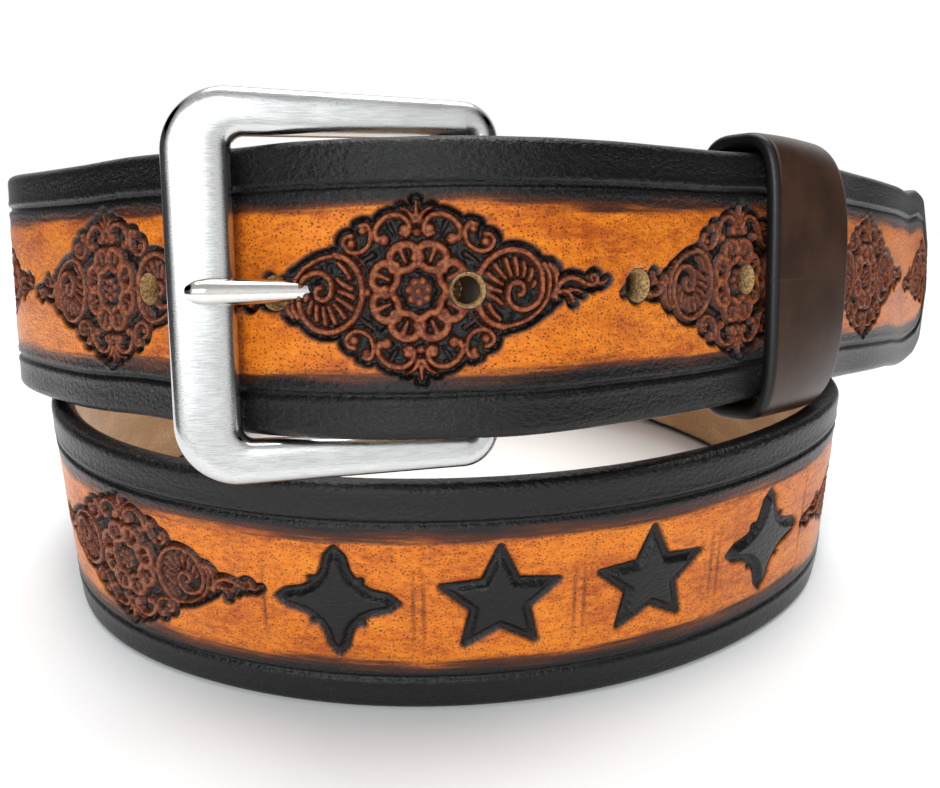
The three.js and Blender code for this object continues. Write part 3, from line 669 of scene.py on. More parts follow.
def keeper_leather():
    """Smooth dark brown leather with thick black burnished rims."""
    shader = Shader("keeper_leather", Specular_IOR_Level=0.36)
    place = shader.attribute("place", "Vector")
    width, _, depth = shader.split(place)
    clouds = shader.noise(place, (0.12, 0.1, 0.1), 4.0, 0.6)
    grain = shader.cells(place, (1.3, 1.3, 1.3))
    fine = shader.noise(place, (3.0, 3.0, 3.0), 3.0, 0.6)
    colour = shader.blend(shader.step(clouds, 0.35, 0.65), KEEPER_DARK, KEEPER_BROWN)
    rim = shader.math("ABSOLUTE", shader.math("SUBTRACT", width, KEEPER_WIDTH / 2))
    black = shader.step(rim, KEEPER_WIDTH / 2 - 1.3, KEEPER_WIDTH / 2 - 0.5)
    inner = shader.step(depth, KEEPER_THICKNESS * 0.8, KEEPER_THICKNESS * 0.6)
    colour = shader.blend(shader.math("MAXIMUM", black, inner), colour, DYE_BLACK)
    rough = shader.math("ADD", shader.math("MULTIPLY", fine, 0.12), 0.3)
    relief = shader.math("ADD", shader.math("MULTIPLY", grain, 0.4), fine)
    return shader.paint(Base_Color=colour, Roughness=rough, Normal=shader.bump(relief, 0.05, 0.4))


def brushed_nickel():
    """Satin nickel with fine lines that run along the buckle's reach, bright at its worn edges."""
    shader = Shader("brushed_nickel", Metallic=1.0)
    place = shader.attribute("place", "Vector")
    lines = shader.noise(place, (0.35, 9.0, 9.0), 4.0, 0.6)
    broad = shader.noise(place, (0.1, 0.12, 0.12), 3.0, 0.5)
    specks = shader.noise(place, (2.2, 2.2, 2.2), 1.0, 0.5)
    polished = shader.attribute("polish")
    colour = shader.blend(shader.step(lines, 0.35, 0.65), SATIN_DARK, SATIN_BRIGHT)
    satin = shader.step(lines, 0.3, 0.7, 0.2, 0.28)
    satin = shader.math("ADD", satin, shader.step(broad, 0.3, 0.7, 0.0, 0.06))
    satin = shader.math("SUBTRACT", satin, shader.step(specks, 0.68, 0.74, 0.0, 0.1))
    rough = shader.math("SUBTRACT", satin, shader.math("MULTIPLY", polished, 0.14))
    depth = shader.math("MULTIPLY", lines, shader.math("SUBTRACT", 1.0, polished))
    return shader.paint(Base_Color=colour, Roughness=rough, Normal=shader.bump(depth, 0.01, 0.5))


def polished_nickel():
    """Bright nickel with faint wear."""
    shader = Shader("polished_nickel", Metallic=1.0)
    place = shader.add("ShaderNodeTexCoord").outputs["Object"]
    wear = shader.noise(place, (500, 4000, 4000), 3.0, 0.6)
    colour = shader.blend(shader.step(wear, 0.4, 0.7), POLISH_BRIGHT, POLISH_WORN)
    return shader.paint(Base_Color=colour, Roughness=shader.step(wear, 0.3, 0.8, 0.05, 0.12))


def eye_shade_nickel():
    """The prong's eye, painted near black as shade where it sits inside the fold."""
    return Shader("eye_shade_nickel", Base_Color=(*PRONG_EYE_SHADE, 1), Roughness=0.6).material


# Tooling


def turned_back(points):
    """The same points turned by half a turn about the motif's middle."""
    return [(-u, -v, *rest) for u, v, *rest in points]


def bent(points, steps=6):
    """A smooth curve through a few points."""
    spots = np.array(points, float)
    ends = np.vstack([2 * spots[0] - spots[1], spots, 2 * spots[-1] - spots[-2]])
    curve = []
    for i in range(1, len(ends) - 2):
        p0, p1, p2, p3 = ends[i - 1 : i + 3]
        for t in np.arange(steps) / steps:
            curve.append(
                0.5
                * (
                    2 * p1
                    + (p2 - p0) * t
                    + (2 * p0 - 5 * p1 + 4 * p2 - p3) * t**2
                    + (3 * p1 - p0 - 3 * p2 + p3) * t**3
                )
            )
    curve.append(spots[-1])
    return [tuple(point) for point in curve]


class Relief:
    """A field about a motif's middle: how far each spot is raised, and how far it is from any stroke."""

    CELL = 0.1
    FULLNESS = 1.2

    def __init__(self, half_length, half_height):
        self.half = (half_length, half_height)
        self.u = np.arange(-half_length, half_length + self.CELL / 2, self.CELL)
        self.v = np.arange(-half_height, half_height + self.CELL / 2, self.CELL)
        self.raised = np.zeros((len(self.u), len(self.v)))
        self.away = np.full(self.raised.shape, 9.0)

    def line(self, points, start=0.4, end=None, lift=1.0, reach=2.5):
        """A rounded ridge along the points, from one half width to the other."""
        start = start * self.FULLNESS
        last = start if end is None else end * self.FULLNESS
        count = max(len(points) - 1, 1)
        for k in range(count):
            a = np.array(points[k])
            b = np.array(points[min(k + 1, len(points) - 1)])
            widths = mix(start, last, k / count), mix(start, last, (k + 1) / count)
            low = np.minimum(a, b) - reach
            high = np.maximum(a, b) + reach
            i0, i1 = np.searchsorted(self.u, (low[0], high[0]))
            j0, j1 = np.searchsorted(self.v, (low[1], high[1]))
            u, v = np.meshgrid(self.u[i0:i1], self.v[j0:j1], indexing="ij")
            run = b - a
            size = max(run @ run, 1e-9)
            share = np.clip(((u - a[0]) * run[0] + (v - a[1]) * run[1]) / size, 0, 1)
            far = np.hypot(u - a[0] - share * run[0], v - a[1] - share * run[1])
            width = mix(widths[0], widths[1], share)
            ridge = lift * np.sqrt(np.clip(1 - (far / width) ** 2, 0, 1))
            self.raised[i0:i1, j0:j1] = np.maximum(self.raised[i0:i1, j0:j1], ridge)
            self.away[i0:i1, j0:j1] = np.minimum(self.away[i0:i1, j0:j1], far - width)

    def ball(self, u, v, radius, lift=1.0):
        self.line([(u, v), (u, v)], radius, lift=lift)

    def at(self, values, u, v):
        """A field's values at spots, and 0 outside the field."""
        x = np.clip((u + self.half[0]) / self.CELL, 0, len(self.u) - 1.001)
        y = np.clip((v + self.half[1]) / self.CELL, 0, len(self.v) - 1.001)
        i, j = x.astype(int), y.astype(int)
        a, b = x - i, y - j
        near = mix(values[i, j], values[i + 1, j], a)
        far = mix(values[i, j + 1], values[i + 1, j + 1], a)
        inside = (np.abs(u) < self.half[0]) & (np.abs(v) < self.half[1])
        return np.where(inside, mix(near, far, b), 0)


def both_ways(draw):
    """Draws a part of a motif, then again turned by half a turn."""
    draw(lambda points: points)
    draw(turned_back)


PETALS = 8
FLOWER_TALL = 1.04


def draw_flower(relief):
    """Centre rosette: eight petals with a rib each, a lobed ring and a lumpy middle."""
    for k in range(PETALS):
        middle = (k + 0.5) / PETALS * 2 * math.pi
        outward = np.array([math.cos(middle), math.sin(middle)])
        beside = np.array([-math.sin(middle), math.cos(middle)])

        def spot(far, off=0.0):
            u, v = outward * far + beside * off
            return (u, v * FLOWER_TALL)

        bow = np.radians(np.arange(-135, 136, 15))
        edge = [spot(4.75 + 1.2 * math.cos(angle), 1.68 * math.sin(angle)) for angle in bow]
        relief.line(edge, 0.5)
        relief.line([spot(5.6), spot(4.7), spot(3.9)], 0.4, 0.26, lift=0.92)
    ring = []
    for angle in np.linspace(0, 2 * math.pi, 97):
        radius = 3.1 + 0.2 * math.cos(PETALS * angle)
        ring.append((radius * math.cos(angle), radius * math.sin(angle) * FLOWER_TALL))
    relief.line(ring, 0.47)
    relief.line([(0, -0.2), (0, 0.2)], 1.85, lift=0.6)
    for row, count, radius in ((0.0, 1, 0.5), (1.2, 7, 0.52)):
        for k in range(count):
            angle = (k + 0.3) / count * 2 * math.pi
            relief.ball(row * math.cos(angle), 1.15 * row * math.sin(angle), radius, 0.97)


def draw_shell(relief, way):
    """Left shell: one long line that runs round the shell and into a spiral, ribs, and outer lines."""
    spiral = [
        (-10.3, 4.7), (-8.6, 4.0), (-7.4, 2.4), (-6.95, 0.2), (-7.3, -1.8), (-8.4, -3.6), (-10.0, -4.7),
        (-11.6, -5.05), (-13.4, -4.6), (-14.8, -3.2), (-15.4, -1.4), (-15.3, 0.4), (-14.6, 1.8),
        (-13.2, 2.5), (-12.0, 2.35), (-11.1, 1.6), (-10.9, 0.4), (-11.3, -0.6), (-12.2, -0.95),
        (-12.95, -0.45), (-12.85, 0.4), (-12.3, 0.65),
    ]
    relief.line(way(bent(spiral)), 0.42, 0.34)
    ribs = (
        ((-9.9, 3.7), (-9.1, 2.9), (-8.55, 1.9)), ((-10.15, 1.7), (-9.3, 1.0), (-8.3, 0.45)),
        ((-10.0, 0.2), (-9.0, -0.15), (-8.1, -0.65)), ((-10.2, -0.75), (-9.2, -1.35), (-8.4, -2.0)),
        ((-10.6, -1.5), (-9.8, -2.4), (-9.3, -3.1)), ((-11.3, -1.85), (-10.9, -2.9), (-10.6, -3.8)),
        ((-12.1, -1.9), (-12.0, -2.9), (-11.8, -3.9)), ((-12.9, -1.7), (-13.05, -2.6), (-13.0, -3.4)),
        ((-13.6, -1.2), (-13.95, -1.9), (-14.0, -2.5)), ((-14.1, -0.4), (-14.4, -0.9)),
    )
    for rib in ribs:
        relief.line(way(list(rib)), 0.3, 0.38, lift=0.9)
    outer = [
        (-10.7, 4.6), (-12.6, 4.15), (-14.6, 3.0), (-15.9, 1.4), (-16.35, -0.4), (-16.3, -1.9),
        (-15.6, -3.2),
    ]
    relief.line(way(bent(outer)), 0.28, 0.32)
    relief.line(way(bent([(-17.3, 1.4), (-17.3, -0.4), (-17.1, -2.0), (-16.4, -3.1)])), 0.2, 0.32)
    relief.line(way(bent([(-8.4, 5.0), (-7.0, 3.9), (-6.3, 2.6)])), 0.2, 0.14, lift=0.6)
    relief.ball(*way([(-6.3, -0.05)])[0], 0.45)


def draw_tail(relief, way):
    """The motif's end: an S with a small curl, a leaf under it and a leaf's point."""
    stem = [(16.9, -0.9), (17.5, 0.2), (18.3, 1.0), (19.4, 1.35), (20.6, 1.1), (21.6, 0.55), (22.6, 0.3),
            (23.4, 0.6), (23.6, 1.2), (23.1, 1.65), (22.5, 1.35), (22.7, 0.95)]
    relief.line(way(bent(stem)), 0.42, 0.24)
    relief.line(way(bent([(23.4, 0.6), (24.3, 0.5), (25.2, 0.95)])), 0.34, 0.12)
    relief.line(way(bent([(17.8, -0.4), (18.9, -0.4), (19.5, -1.1), (19.7, -1.8)])), 0.34, 0.2)
    relief.line(way(bent([(19.3, -0.2), (20.4, -0.3), (21.2, -0.7)])), 0.3, 0.14)
    relief.line(way(bent([(16.4, 3.1), (17.2, 2.5), (17.5, 1.7)])), 0.26, 0.18)


def draw_scrolls(relief, way):
    """Scrolls above the flower: two pairs of C curves that end in balls, and a crown of small leaves."""
    for side in (1, -1):

        def place(points):
            return way([(side * u, v) for u, v in points])

        curl = [
            (1.95, 7.25), (1.3, 7.0), (0.85, 7.6), (1.05, 8.6), (2.0, 9.4), (3.4, 9.4), (4.6, 8.6),
            (5.2, 7.4), (4.9, 6.5),
        ]
        relief.line(place(bent(curl)), 0.3, 0.4)
        relief.line(place([(3.6, 8.5), (3.1, 7.6), (2.8, 7.0)]), 0.3, 0.12, lift=0.45)
        curl = [
            (7.1, 8.2), (6.2, 8.35), (5.75, 7.3), (6.0, 5.9), (7.0, 5.05), (8.3, 5.0), (9.15, 5.9),
            (8.9, 6.8), (8.1, 7.05),
        ]
        relief.line(place(bent(curl)), 0.3, 0.32)
        for u, v, radius in ((1.55, 7.7, 0.6), (4.15, 6.45, 0.68), (6.7, 7.65, 0.5), (8.15, 6.05, 0.56)):
            relief.line(place([(u, v)] * 2), radius)
        relief.line(place(bent([(0.25, 8.7), (0.9, 9.8), (1.9, 10.35)])), 0.36, 0.14)
        relief.line(place(bent([(5.6, 4.6), (6.6, 4.0), (7.3, 3.3)])), 0.34, 0.2, lift=0.5)
    relief.line(way([(0, 9.5), (0, 10.4), (0, 11.2)]), 0.36, 0.14)
    relief.line(way([(0, 7.3)] * 2), 0.5)


LOZENGE = (
    (0, 11.4), (2.2, 10.7), (5.0, 9.2), (7.0, 8.5), (9.2, 7.4), (10.2, 6.1), (12.6, 5.2), (15.0, 4.2),
    (16.8, 3.2), (18.0, 1.6),
)


def softened(field, reach):
    """A random field blurred over its neighbours, with the same spread as before."""
    for axis in (0, 1):
        field = sum(np.roll(field, i, axis) for i in range(-reach, reach + 1))
    return field / field.std()


def medallion():
    """Height over the leather's face in millimetres, black dye and raised lines of one lozenge."""
    relief = Relief(MOTIF_LENGTH / 2 + 2.6, MOTIF_HEIGHT / 2 + 1.7)
    draw_flower(relief)
    both_ways(lambda way: draw_shell(relief, way))
    both_ways(lambda way: draw_tail(relief, way))
    both_ways(lambda way: draw_scrolls(relief, way))
    u, v = np.meshgrid(relief.u, relief.v, indexing="ij")
    right = list(LOZENGE) + [(a, -b) for a, b in LOZENGE[:0:-1]] + [(0, -LOZENGE[0][1])]
    outline = right + [(-a, -b) for a, b in right[1:-1]]
    relief.away = np.minimum(relief.away, polygon_distance(u, v, outline) + 0.9)
    sunk = 1 - smooth(0.1, 1.0, relief.away)
    chance = np.random.default_rng(7)
    grains = softened(chance.normal(size=relief.raised.shape), 1)
    lumps = softened(chance.normal(size=relief.raised.shape), 4)
    height = -MOTIF_DEPTH * sunk + (MOTIF_DEPTH + 0.1) * relief.raised * sunk
    height = height + (0.03 * grains + 0.1 * lumps) * sunk * (1 - 0.6 * relief.raised)
    lip = 0.1 * smooth(0.7, 1.1, relief.away) * (1 - smooth(1.1, 1.9, relief.away))
    halo = 1 - smooth(0.6, 1.2, relief.away)
    dye = halo * (1 - smooth(0.35, 0.8, relief.raised))
    return relief, {"height": height + lip, "dye": dye, "raised": relief.raised * sunk}


def polygon_distance(u, v, corners):
    """Distance to a closed outline, below 0 inside it."""
    nearest = np.full(u.shape, 99.0)
    inside = np.zeros(u.shape, bool)
    for a, b in zip(corners, corners[1:] + corners[:1]):
        run_u, run_v = b[0] - a[0], b[1] - a[1]
        share = ((u - a[0]) * run_u + (v - a[1]) * run_v) / (run_u**2 + run_v**2)
        share = np.clip(share, 0, 1)
        nearest = np.minimum(nearest, np.hypot(u - a[0] - share * run_u, v - a[1] - share * run_v))
        crosses = (a[1] > v) != (b[1] > v)
        if run_v:
            inside ^= crosses & (u < run_u * (v - a[1]) / run_v + a[0])
    return np.where(inside, -nearest, nearest)


def cusped_diamond(size):
    """A four-pointed outline with hollow sides and a small notch at each side's middle."""
    quarter = ((-9, 0.86), (0, 1.0), (9, 0.86), (20, 0.6), (38, 0.5), (45, 0.59), (52, 0.5), (70, 0.6))
    corners = []
    for k in range(4):
        start = math.radians(90 * k)
        for angle, radius in quarter:
            turn = start + math.radians(angle)
            corners.append((size * radius * math.cos(turn), size * radius * math.sin(turn)))
    return corners


def pointed_star(size):
    """A five-pointed star that stands on two points."""
    corners = []
    for k in range(10):
        radius = size * (1.0, 0.47)[k % 2]
        angle = math.radians(36 * k)
        corners.append((radius * math.sin(angle), radius * math.cos(angle)))
    return corners


def stamp(outline, size):
    """One stamp: a black body in a bevelled groove, inside a faint rounded rectangle."""
    half_length, half_height = STAMP_PITCH / 2, 11.4
    relief = Relief(half_length, half_height)
    u, v = np.meshgrid(relief.u, relief.v, indexing="ij")
    far = polygon_distance(u, v, outline(size))
    groove = np.clip(1 - np.abs(far + 0.05) / 0.95, 0, 1)
    body = 1 - smooth(-1.1, -0.7, far)
    height = 0.34 * body - 0.72 * groove**0.8
    rounded = 2.2
    edge_u = np.abs(u) - (half_length - 0.75 - rounded)
    edge_v = np.abs(v) - (10.3 - rounded)
    outside = np.hypot(np.maximum(edge_u, 0), np.maximum(edge_v, 0))
    inside = np.minimum(np.maximum(edge_u, edge_v), 0)
    frame_far = np.abs(outside + inside - rounded)
    faint = 0.5 + 0.5 * np.sin(0.55 * u + 1.3) * np.cos(0.35 * v + 0.4)
    line = np.clip(1 - frame_far / 0.4, 0, 1)
    height = height - 0.16 * line
    dye = np.maximum(1 - smooth(0.45, 0.95, far), 0.85 * line * faint)
    return relief, {"height": height, "dye": dye, "raised": np.zeros(u.shape)}


def medallion_stations():
    """Middles of the lozenges: even rows from the fold to the stamps, and from there to the tip."""
    middle = length_at_turn(STAMP_TURN)
    side = STAMP_COUNT * STAMP_PITCH / 2 + STAMP_TO_MOTIF
    first = HEEL_LENGTH + FOLD_LENGTH + MOTIF_LENGTH
    stations = list(np.arange(middle - side, first, -MOTIF_PITCH))
    shown = PRONG_HOLE + MOTIF_OFFSET
    run = shown - MOTIF_PITCH - (middle + side)
    steps = max(round(run / MOTIF_PITCH), 1)
    stations += [middle + side + run * i / steps for i in range(steps)]
    stations += list(np.arange(shown - MOTIF_PITCH, BELT_END - TIP_LENGTH + MOTIF_LENGTH / 2, MOTIF_PITCH))
    return sorted(stations)


def stamp_stations():
    middle = length_at_turn(STAMP_TURN)
    return [middle + (i - (STAMP_COUNT - 1) / 2) * STAMP_PITCH for i in range(STAMP_COUNT)]


MEDALLIONS = medallion_stations()
STAMPS = stamp_stations()
HOLES = [PRONG_HOLE + i * HOLE_PITCH for i in range(-HOLES_BEFORE_PRONG, HOLES_AFTER_PRONG + 1)]


def tooling():
    """Every tooled field with its middle along the strap."""
    lozenge = medallion()
    fields = [(station, *lozenge) for station in MEDALLIONS]
    diamond = stamp(cusped_diamond, 8.9)
    star = stamp(pointed_star, 9.0)
    fields += [(station, *made) for station, made in zip(STAMPS, (diamond, star, star, diamond))]
    return fields


TOOLING = tooling()


PANEL_TO_GROOVE = 1.3
GROOVE_ZONE = 2.9
PANEL_EDGE = HALF_WIDTH - BORDER_INSET - PANEL_TO_GROOVE


def border_profile(away):
    """Height of the outer face by the distance from the strap's middle: a groove between two beads."""
    groove = HALF_WIDTH - BORDER_INSET
    deep = -0.42 * np.clip(1 - ((away - groove) / 0.55) ** 2, 0, 1)
    outer_bead = 0.13 * np.exp(-(((away - groove - 1.0) / 0.5) ** 2))
    inner_bead = 0.1 * np.exp(-(((away - groove + 1.0) / 0.5) ** 2))
    return deep + (outer_bead + inner_bead)


def strap_columns(panel_step):
    """Columns round the strap's section: up across it, out of its middle, and 1 on the outer face."""
    panel = np.linspace(-PANEL_EDGE, PANEL_EDGE, max(round(2 * PANEL_EDGE / panel_step), 8) + 1)
    groove = np.linspace(PANEL_EDGE, PANEL_EDGE + GROOVE_ZONE, 13)[1:]
    plain = np.linspace(PANEL_EDGE + GROOVE_ZONE, HALF_WIDTH - EDGE_ROUND, 5)[1:]
    side = np.concatenate([groove, plain])
    outer = np.concatenate([-side[::-1], panel, side])
    angle = np.radians(np.linspace(90, 0, 6))[1:]
    corner_up = HALF_WIDTH - EDGE_ROUND + EDGE_ROUND * np.cos(angle)
    corner_out = FACE - EDGE_ROUND + EDGE_ROUND * np.sin(angle)
    flesh = np.linspace(HALF_WIDTH - EDGE_ROUND, -HALF_WIDTH + EDGE_ROUND, 13)
    up = np.concatenate([outer, corner_up, corner_up[::-1], flesh, -corner_up, -corner_up[::-1]])
    flat_back = np.full(len(flesh), -FACE)
    rest = [corner_out, -corner_out[::-1], flat_back, -corner_out, corner_out[::-1]]
    out = np.concatenate([np.full(len(outer), FACE), *rest])
    on_face = np.concatenate([np.ones(len(outer)), np.zeros(len(up) - len(outer))])
    return up, out, on_face


def tip_half(length):
    """Half width of the strap, which narrows to its blunt tip."""
    share = np.clip((BELT_END - length) / TIP_LENGTH, 0, 1)
    near = mix(TIP_BLUNT, HALF_WIDTH * TIP_SHOULDER, np.clip(share / 0.5, 0, 1) ** 0.9)
    far = mix(HALF_WIDTH * TIP_SHOULDER, HALF_WIDTH, np.clip((share - 0.5) / 0.5, 0, 1) ** 0.6)
    return np.where(share < 0.5, near, far)


def strap_lengths(start, end, fine_step, plain_step):
    """Stations from start to end, close together where the strap is tooled."""
    spans = sorted(
        (max(station - relief.half[0], start), min(station + relief.half[0], end))
        for station, relief, _ in TOOLING
        if station + relief.half[0] > start and station - relief.half[0] < end
    )
    lengths = [start]

    def fill(stop, step):
        if stop > lengths[-1] + 1e-6:
            count = max(math.ceil((stop - lengths[-1]) / step), 1)
            lengths.extend(np.linspace(lengths[-1], stop, count + 1)[1:])

    for low, high in spans:
        fill(low, plain_step)
        fill(high, fine_step)
    fill(end, plain_step)
    return np.array(lengths)


def strap_stretch(name, start, end, fine_step, plain_step, materials):
    """A piece of the strap with its tooling as real relief."""
    up, out, on_face = strap_columns(fine_step)
    lengths = strap_lengths(start, end, fine_step, plain_step)
    if end >= BELT_END:
        rounding = BELT_END - EDGE_ROUND * (1 - np.sin(np.radians(np.linspace(0, 90, 6))))
        tip = np.linspace(BELT_END - TIP_LENGTH, BELT_END - EDGE_ROUND, 40)
        lengths = np.concatenate([lengths[lengths < tip[0] - 0.1], tip, rounding[1:]])
    if start <= 0:
        rounding = EDGE_ROUND * (1 - np.cos(np.radians(np.linspace(0, 90, 6))))
        lengths = np.concatenate([rounding, lengths[lengths > EDGE_ROUND + 0.1]])
    s, v = np.meshgrid(lengths, up, indexing="ij")
    height = border_profile(np.abs(v))
    dye = np.zeros(s.shape)
    raised = np.zeros(s.shape)
    for station, relief, fields in TOOLING:
        rows = np.abs(lengths - station) < relief.half[0]
        if rows.any():
            u = s[rows] - station
            height[rows] += relief.at(fields["height"], u, v[rows])
            dye[rows] = np.maximum(dye[rows], relief.at(fields["dye"], u, v[rows]))
            raised[rows] = np.maximum(raised[rows], relief.at(fields["raised"], u, v[rows]))
    for hole in HOLES:
        far = np.hypot(s - hole, v) - HOLE_DIAMETER / 2
        near = np.exp(-((np.clip(far, 0, None) / 0.5) ** 2))
        height = mix(height, HOLE_RIM, near)
    half = tip_half(s)
    inset = (HALF_WIDTH - np.abs(v)) * np.clip(half / 9, 0, 1)
    panel_half = half - (HALF_WIDTH - PANEL_EDGE) * np.clip(half / 9, 0, 1)
    v_shown = np.where(np.abs(v) > PANEL_EDGE, np.sign(v) * (half - inset), v / PANEL_EDGE * panel_half)
    left = np.clip(np.minimum(BELT_END - s, s) / EDGE_ROUND, 0, 1)
    thin = FACE - EDGE_ROUND + EDGE_ROUND * np.sqrt(np.clip(1 - (1 - left) ** 2, 0, 1))
    outward = out * thin / FACE + height * on_face * smooth(0, 3, np.minimum(BELT_END - s, s))
    at = belt.at(lengths)
    rings = at.centre[:, None] + at.across[:, None] * v_shown[..., None] + at.out[:, None] * outward[..., None]
    place = np.stack([s, v, np.broadcast_to(out / FACE, s.shape)], axis=2)
    flesh = (out <= -FACE + 1e-6) & (np.roll(out, -1) <= -FACE + 1e-6)
    return ring_mesh(
        name,
        rings,
        materials,
        face_material=flesh.astype(int),
        attributes={"place": place, "dye": dye * on_face, "raised": raised * on_face},
    )


def round_cutter(name, station, outline, material, sides=48):
    """A round cutter at a station, from pairs of a distance out of the strap's middle and a radius."""
    at = belt.at(station)
    angle = np.arange(sides) / sides * 2 * math.pi
    ring = np.outer(np.cos(angle), at.along) + np.outer(np.sin(angle), at.across)
    rings = [at.centre + ring * radius + at.out * depth for depth, radius in outline]
    return ring_mesh(name, np.array(rings), [material])


def hole_outline():
    """A punched hole: its edge has given way round the face, and it is a little narrower behind."""
    wide, narrow = HOLE_DIAMETER / 2, HOLE_DIAMETER / 2 - HOLE_TAPER
    return ((-FACE - 1, narrow), (FACE - 1.6, narrow), (FACE + HOLE_RIM, wide), (FACE + 1.5, wide))


def slot_cutter(material):
    """The slot round the heel bar that the prong's eye stands in."""
    half = PRONG_EYE_HEIGHT / 2 + LAYER_GAP * 1.5
    depth = WRAP_RADIUS + FACE + LAYER_GAP / 2
    back = -depth - 2 * STRAP_THICKNESS
    corners = [(-half, back), (half, back), (half, depth), (-half, depth)]
    rings = [
        [HEEL_CENTRE + HEEL_ALONG * along + HEEL_ACROSS * up + HEEL_OUT * out for up, out in corners]
        for along in (-SLOT_REACH, SLOT_REACH)
    ]
    return ring_mesh("slot_cutter", np.array(rings), [material])


PRONG_RADII = (
    (0.07, PRONG_SHANK_RADIUS * 1.1),
    (0.45, PRONG_SHANK_RADIUS),
    (0.66, PRONG_SHANK_RADIUS),
    (0.82, PRONG_SHANK_RADIUS * 1.2),
    (0.92, PRONG_BULB_RADIUS),
    (0.97, PRONG_BULB_RADIUS * 0.8),
    (1, PRONG_BULB_RADIUS * 0.35),
)


def prong_rings(clearance, rows, sides):
    """Rings along the prong's shank, from the eye to its rounded end."""
    keys = np.array(PRONG_RADII)
    share = keys[0, 0] + (1 - keys[0, 0]) * (1 - (1 - np.linspace(0, 1, rows)) ** 1.6)
    soft = np.interp(share, keys[:, 0], keys[:, 1])
    for _ in range(rows // 16):
        soft[1:-1] = (soft[:-2] + soft[1:-1] * 2 + soft[2:]) / 4
    rounded = PRONG_BULB_RADIUS * np.sqrt(np.clip(1 - ((share - 0.945) / 0.055) ** 2, 0.0, 1))
    radius = np.where(share > 0.945, np.minimum(soft, np.maximum(rounded, 0.1)), soft)
    angle = np.arange(sides) / sides * 2 * math.pi
    reach = (share * PRONG_END)[:, None]
    up = np.cos(angle)[None, :] * (radius[:, None] + clearance)
    out = np.sin(angle)[None, :] * (radius[:, None] + clearance) + PRONG_LIFT * reach / FRAME_REACH
    return buckle_point(reach, up, out)


def make_strap(leather, flesh, raw):
    """The strap in stretches that part between lozenges, with its holes and the slot cut through."""
    gaps = [(a + b) / 2 for a, b in zip(MEDALLIONS, MEDALLIONS[1:])]

    def gap_after(length):
        return min(gap for gap in gaps if gap > length)

    first = MEDALLIONS[0] - MOTIF_LENGTH / 2 - 2
    lower = gap_after(STAMPS[0] - 110)
    lower_end = gap_after(STAMPS[-1] + 20)
    rise = gap_after(lower_end + 120)
    left = gap_after(PRONG_HOLE - 90)
    buckle = gap_after(PRONG_HOLE - 12)
    keeper = gap_after(PRONG_HOLE + 40)
    stretches = (
        ("strap_fold", 0, first, 0.8, 1.2),
        ("strap_inner", first, lower, 0.42, 1.2),
        ("strap_lower", lower, lower_end, 0.3, 0.9),
        ("strap_back", lower_end, rise, 0.42, 1.2),
        ("strap_side", rise, left, 0.42, 1.2),
        ("strap_left", left, buckle, 0.22, 0.8),
        ("strap_front", buckle, keeper, 0.16, 0.6),
        ("strap_tip", keeper, BELT_END, 0.28, 0.9),
    )
    for name, start, end, fine, plain in stretches:
        piece = strap_stretch(name, start, end, fine, plain, [leather, flesh])
        cutters = []
        if name == "strap_fold":
            cutters.append(slot_cutter(raw))
            flange = POST_FLANGE_RADIUS + LAYER_GAP
            step = POST_INSET + POST_FLANGE_THICKNESS + LAYER_GAP
            low = -LAYER_PITCH - FACE
            for station in POST_STATIONS:
                middle = HEEL_LENGTH + station
                for outline in (
                    ((FACE - step, flange), (FACE + 1, flange)),
                    ((low - 1, flange), (low + step, flange)),
                    ((low - 1, POST_SHAFT_RADIUS + LAYER_GAP), (FACE + 1, POST_SHAFT_RADIUS + LAYER_GAP)),
                ):
                    cutters.append(round_cutter("post_cutter", middle, outline, raw))
        for hole in HOLES:
            if start < hole < end:
                cutters.append(round_cutter("hole_cutter", hole, hole_outline(), raw))
                if hole == PRONG_HOLE:
                    cutters.append(ring_mesh("prong_cutter", prong_rings(LAYER_GAP, 24, 24), [raw]))
        combine(piece, cutters, "DIFFERENCE")
        hand_over(piece, "strap_leather", "strap")


# Buckle


def frame_stations(corner_steps, bar_steps):
    """Round the frame: outer and inner edge of the bar, and how far it has the heel's round section."""
    inner_up = HALF_WIDTH + FRAME_SIDE_GAP
    rows = []

    def corner(reach_sign, up_sign):
        front = reach_sign > 0
        outer_radius = FRAME_OUTER_RADIUS if front else FRAME_HEEL_RADIUS
        inner_radius = FRAME_INNER_RADIUS if front else HEEL_INNER_RADIUS
        outer_up = inner_up + (FRAME_BAR_WIDTH if front else HEEL_SIDE_WIDTH)
        outer_reach = FRAME_REACH + FRONT_BAR_WIDTH / 2 if front else -HEEL_BAR_RADIUS
        inner_reach = FRAME_REACH - FRONT_BAR_WIDTH / 2 if front else HEEL_BAR_RADIUS
        made = []
        for i in range(corner_steps + 1):
            angle = i / corner_steps * math.pi / 2

            def spot(reach, up, radius):
                return (
                    reach - reach_sign * radius * (1 - math.cos(angle)),
                    up_sign * (up - radius * (1 - math.sin(angle))),
                )

            heel = 0 if front else math.cos(angle)
            outer_spot = spot(outer_reach, outer_up, outer_radius)
            made.append((*outer_spot, *spot(inner_reach, inner_up, inner_radius), heel))
        return made

    corners = [corner(1, 1), corner(-1, 1)[::-1], corner(-1, -1), corner(1, -1)[::-1]]
    for made, after in zip(corners, corners[1:] + corners[:1]):
        rows.extend(made)
        start, end = np.array(made[-1]), np.array(after[0])
        rows.extend(tuple(mix(start, end, k / bar_steps)) for k in range(1, bar_steps))
    return np.array(rows)


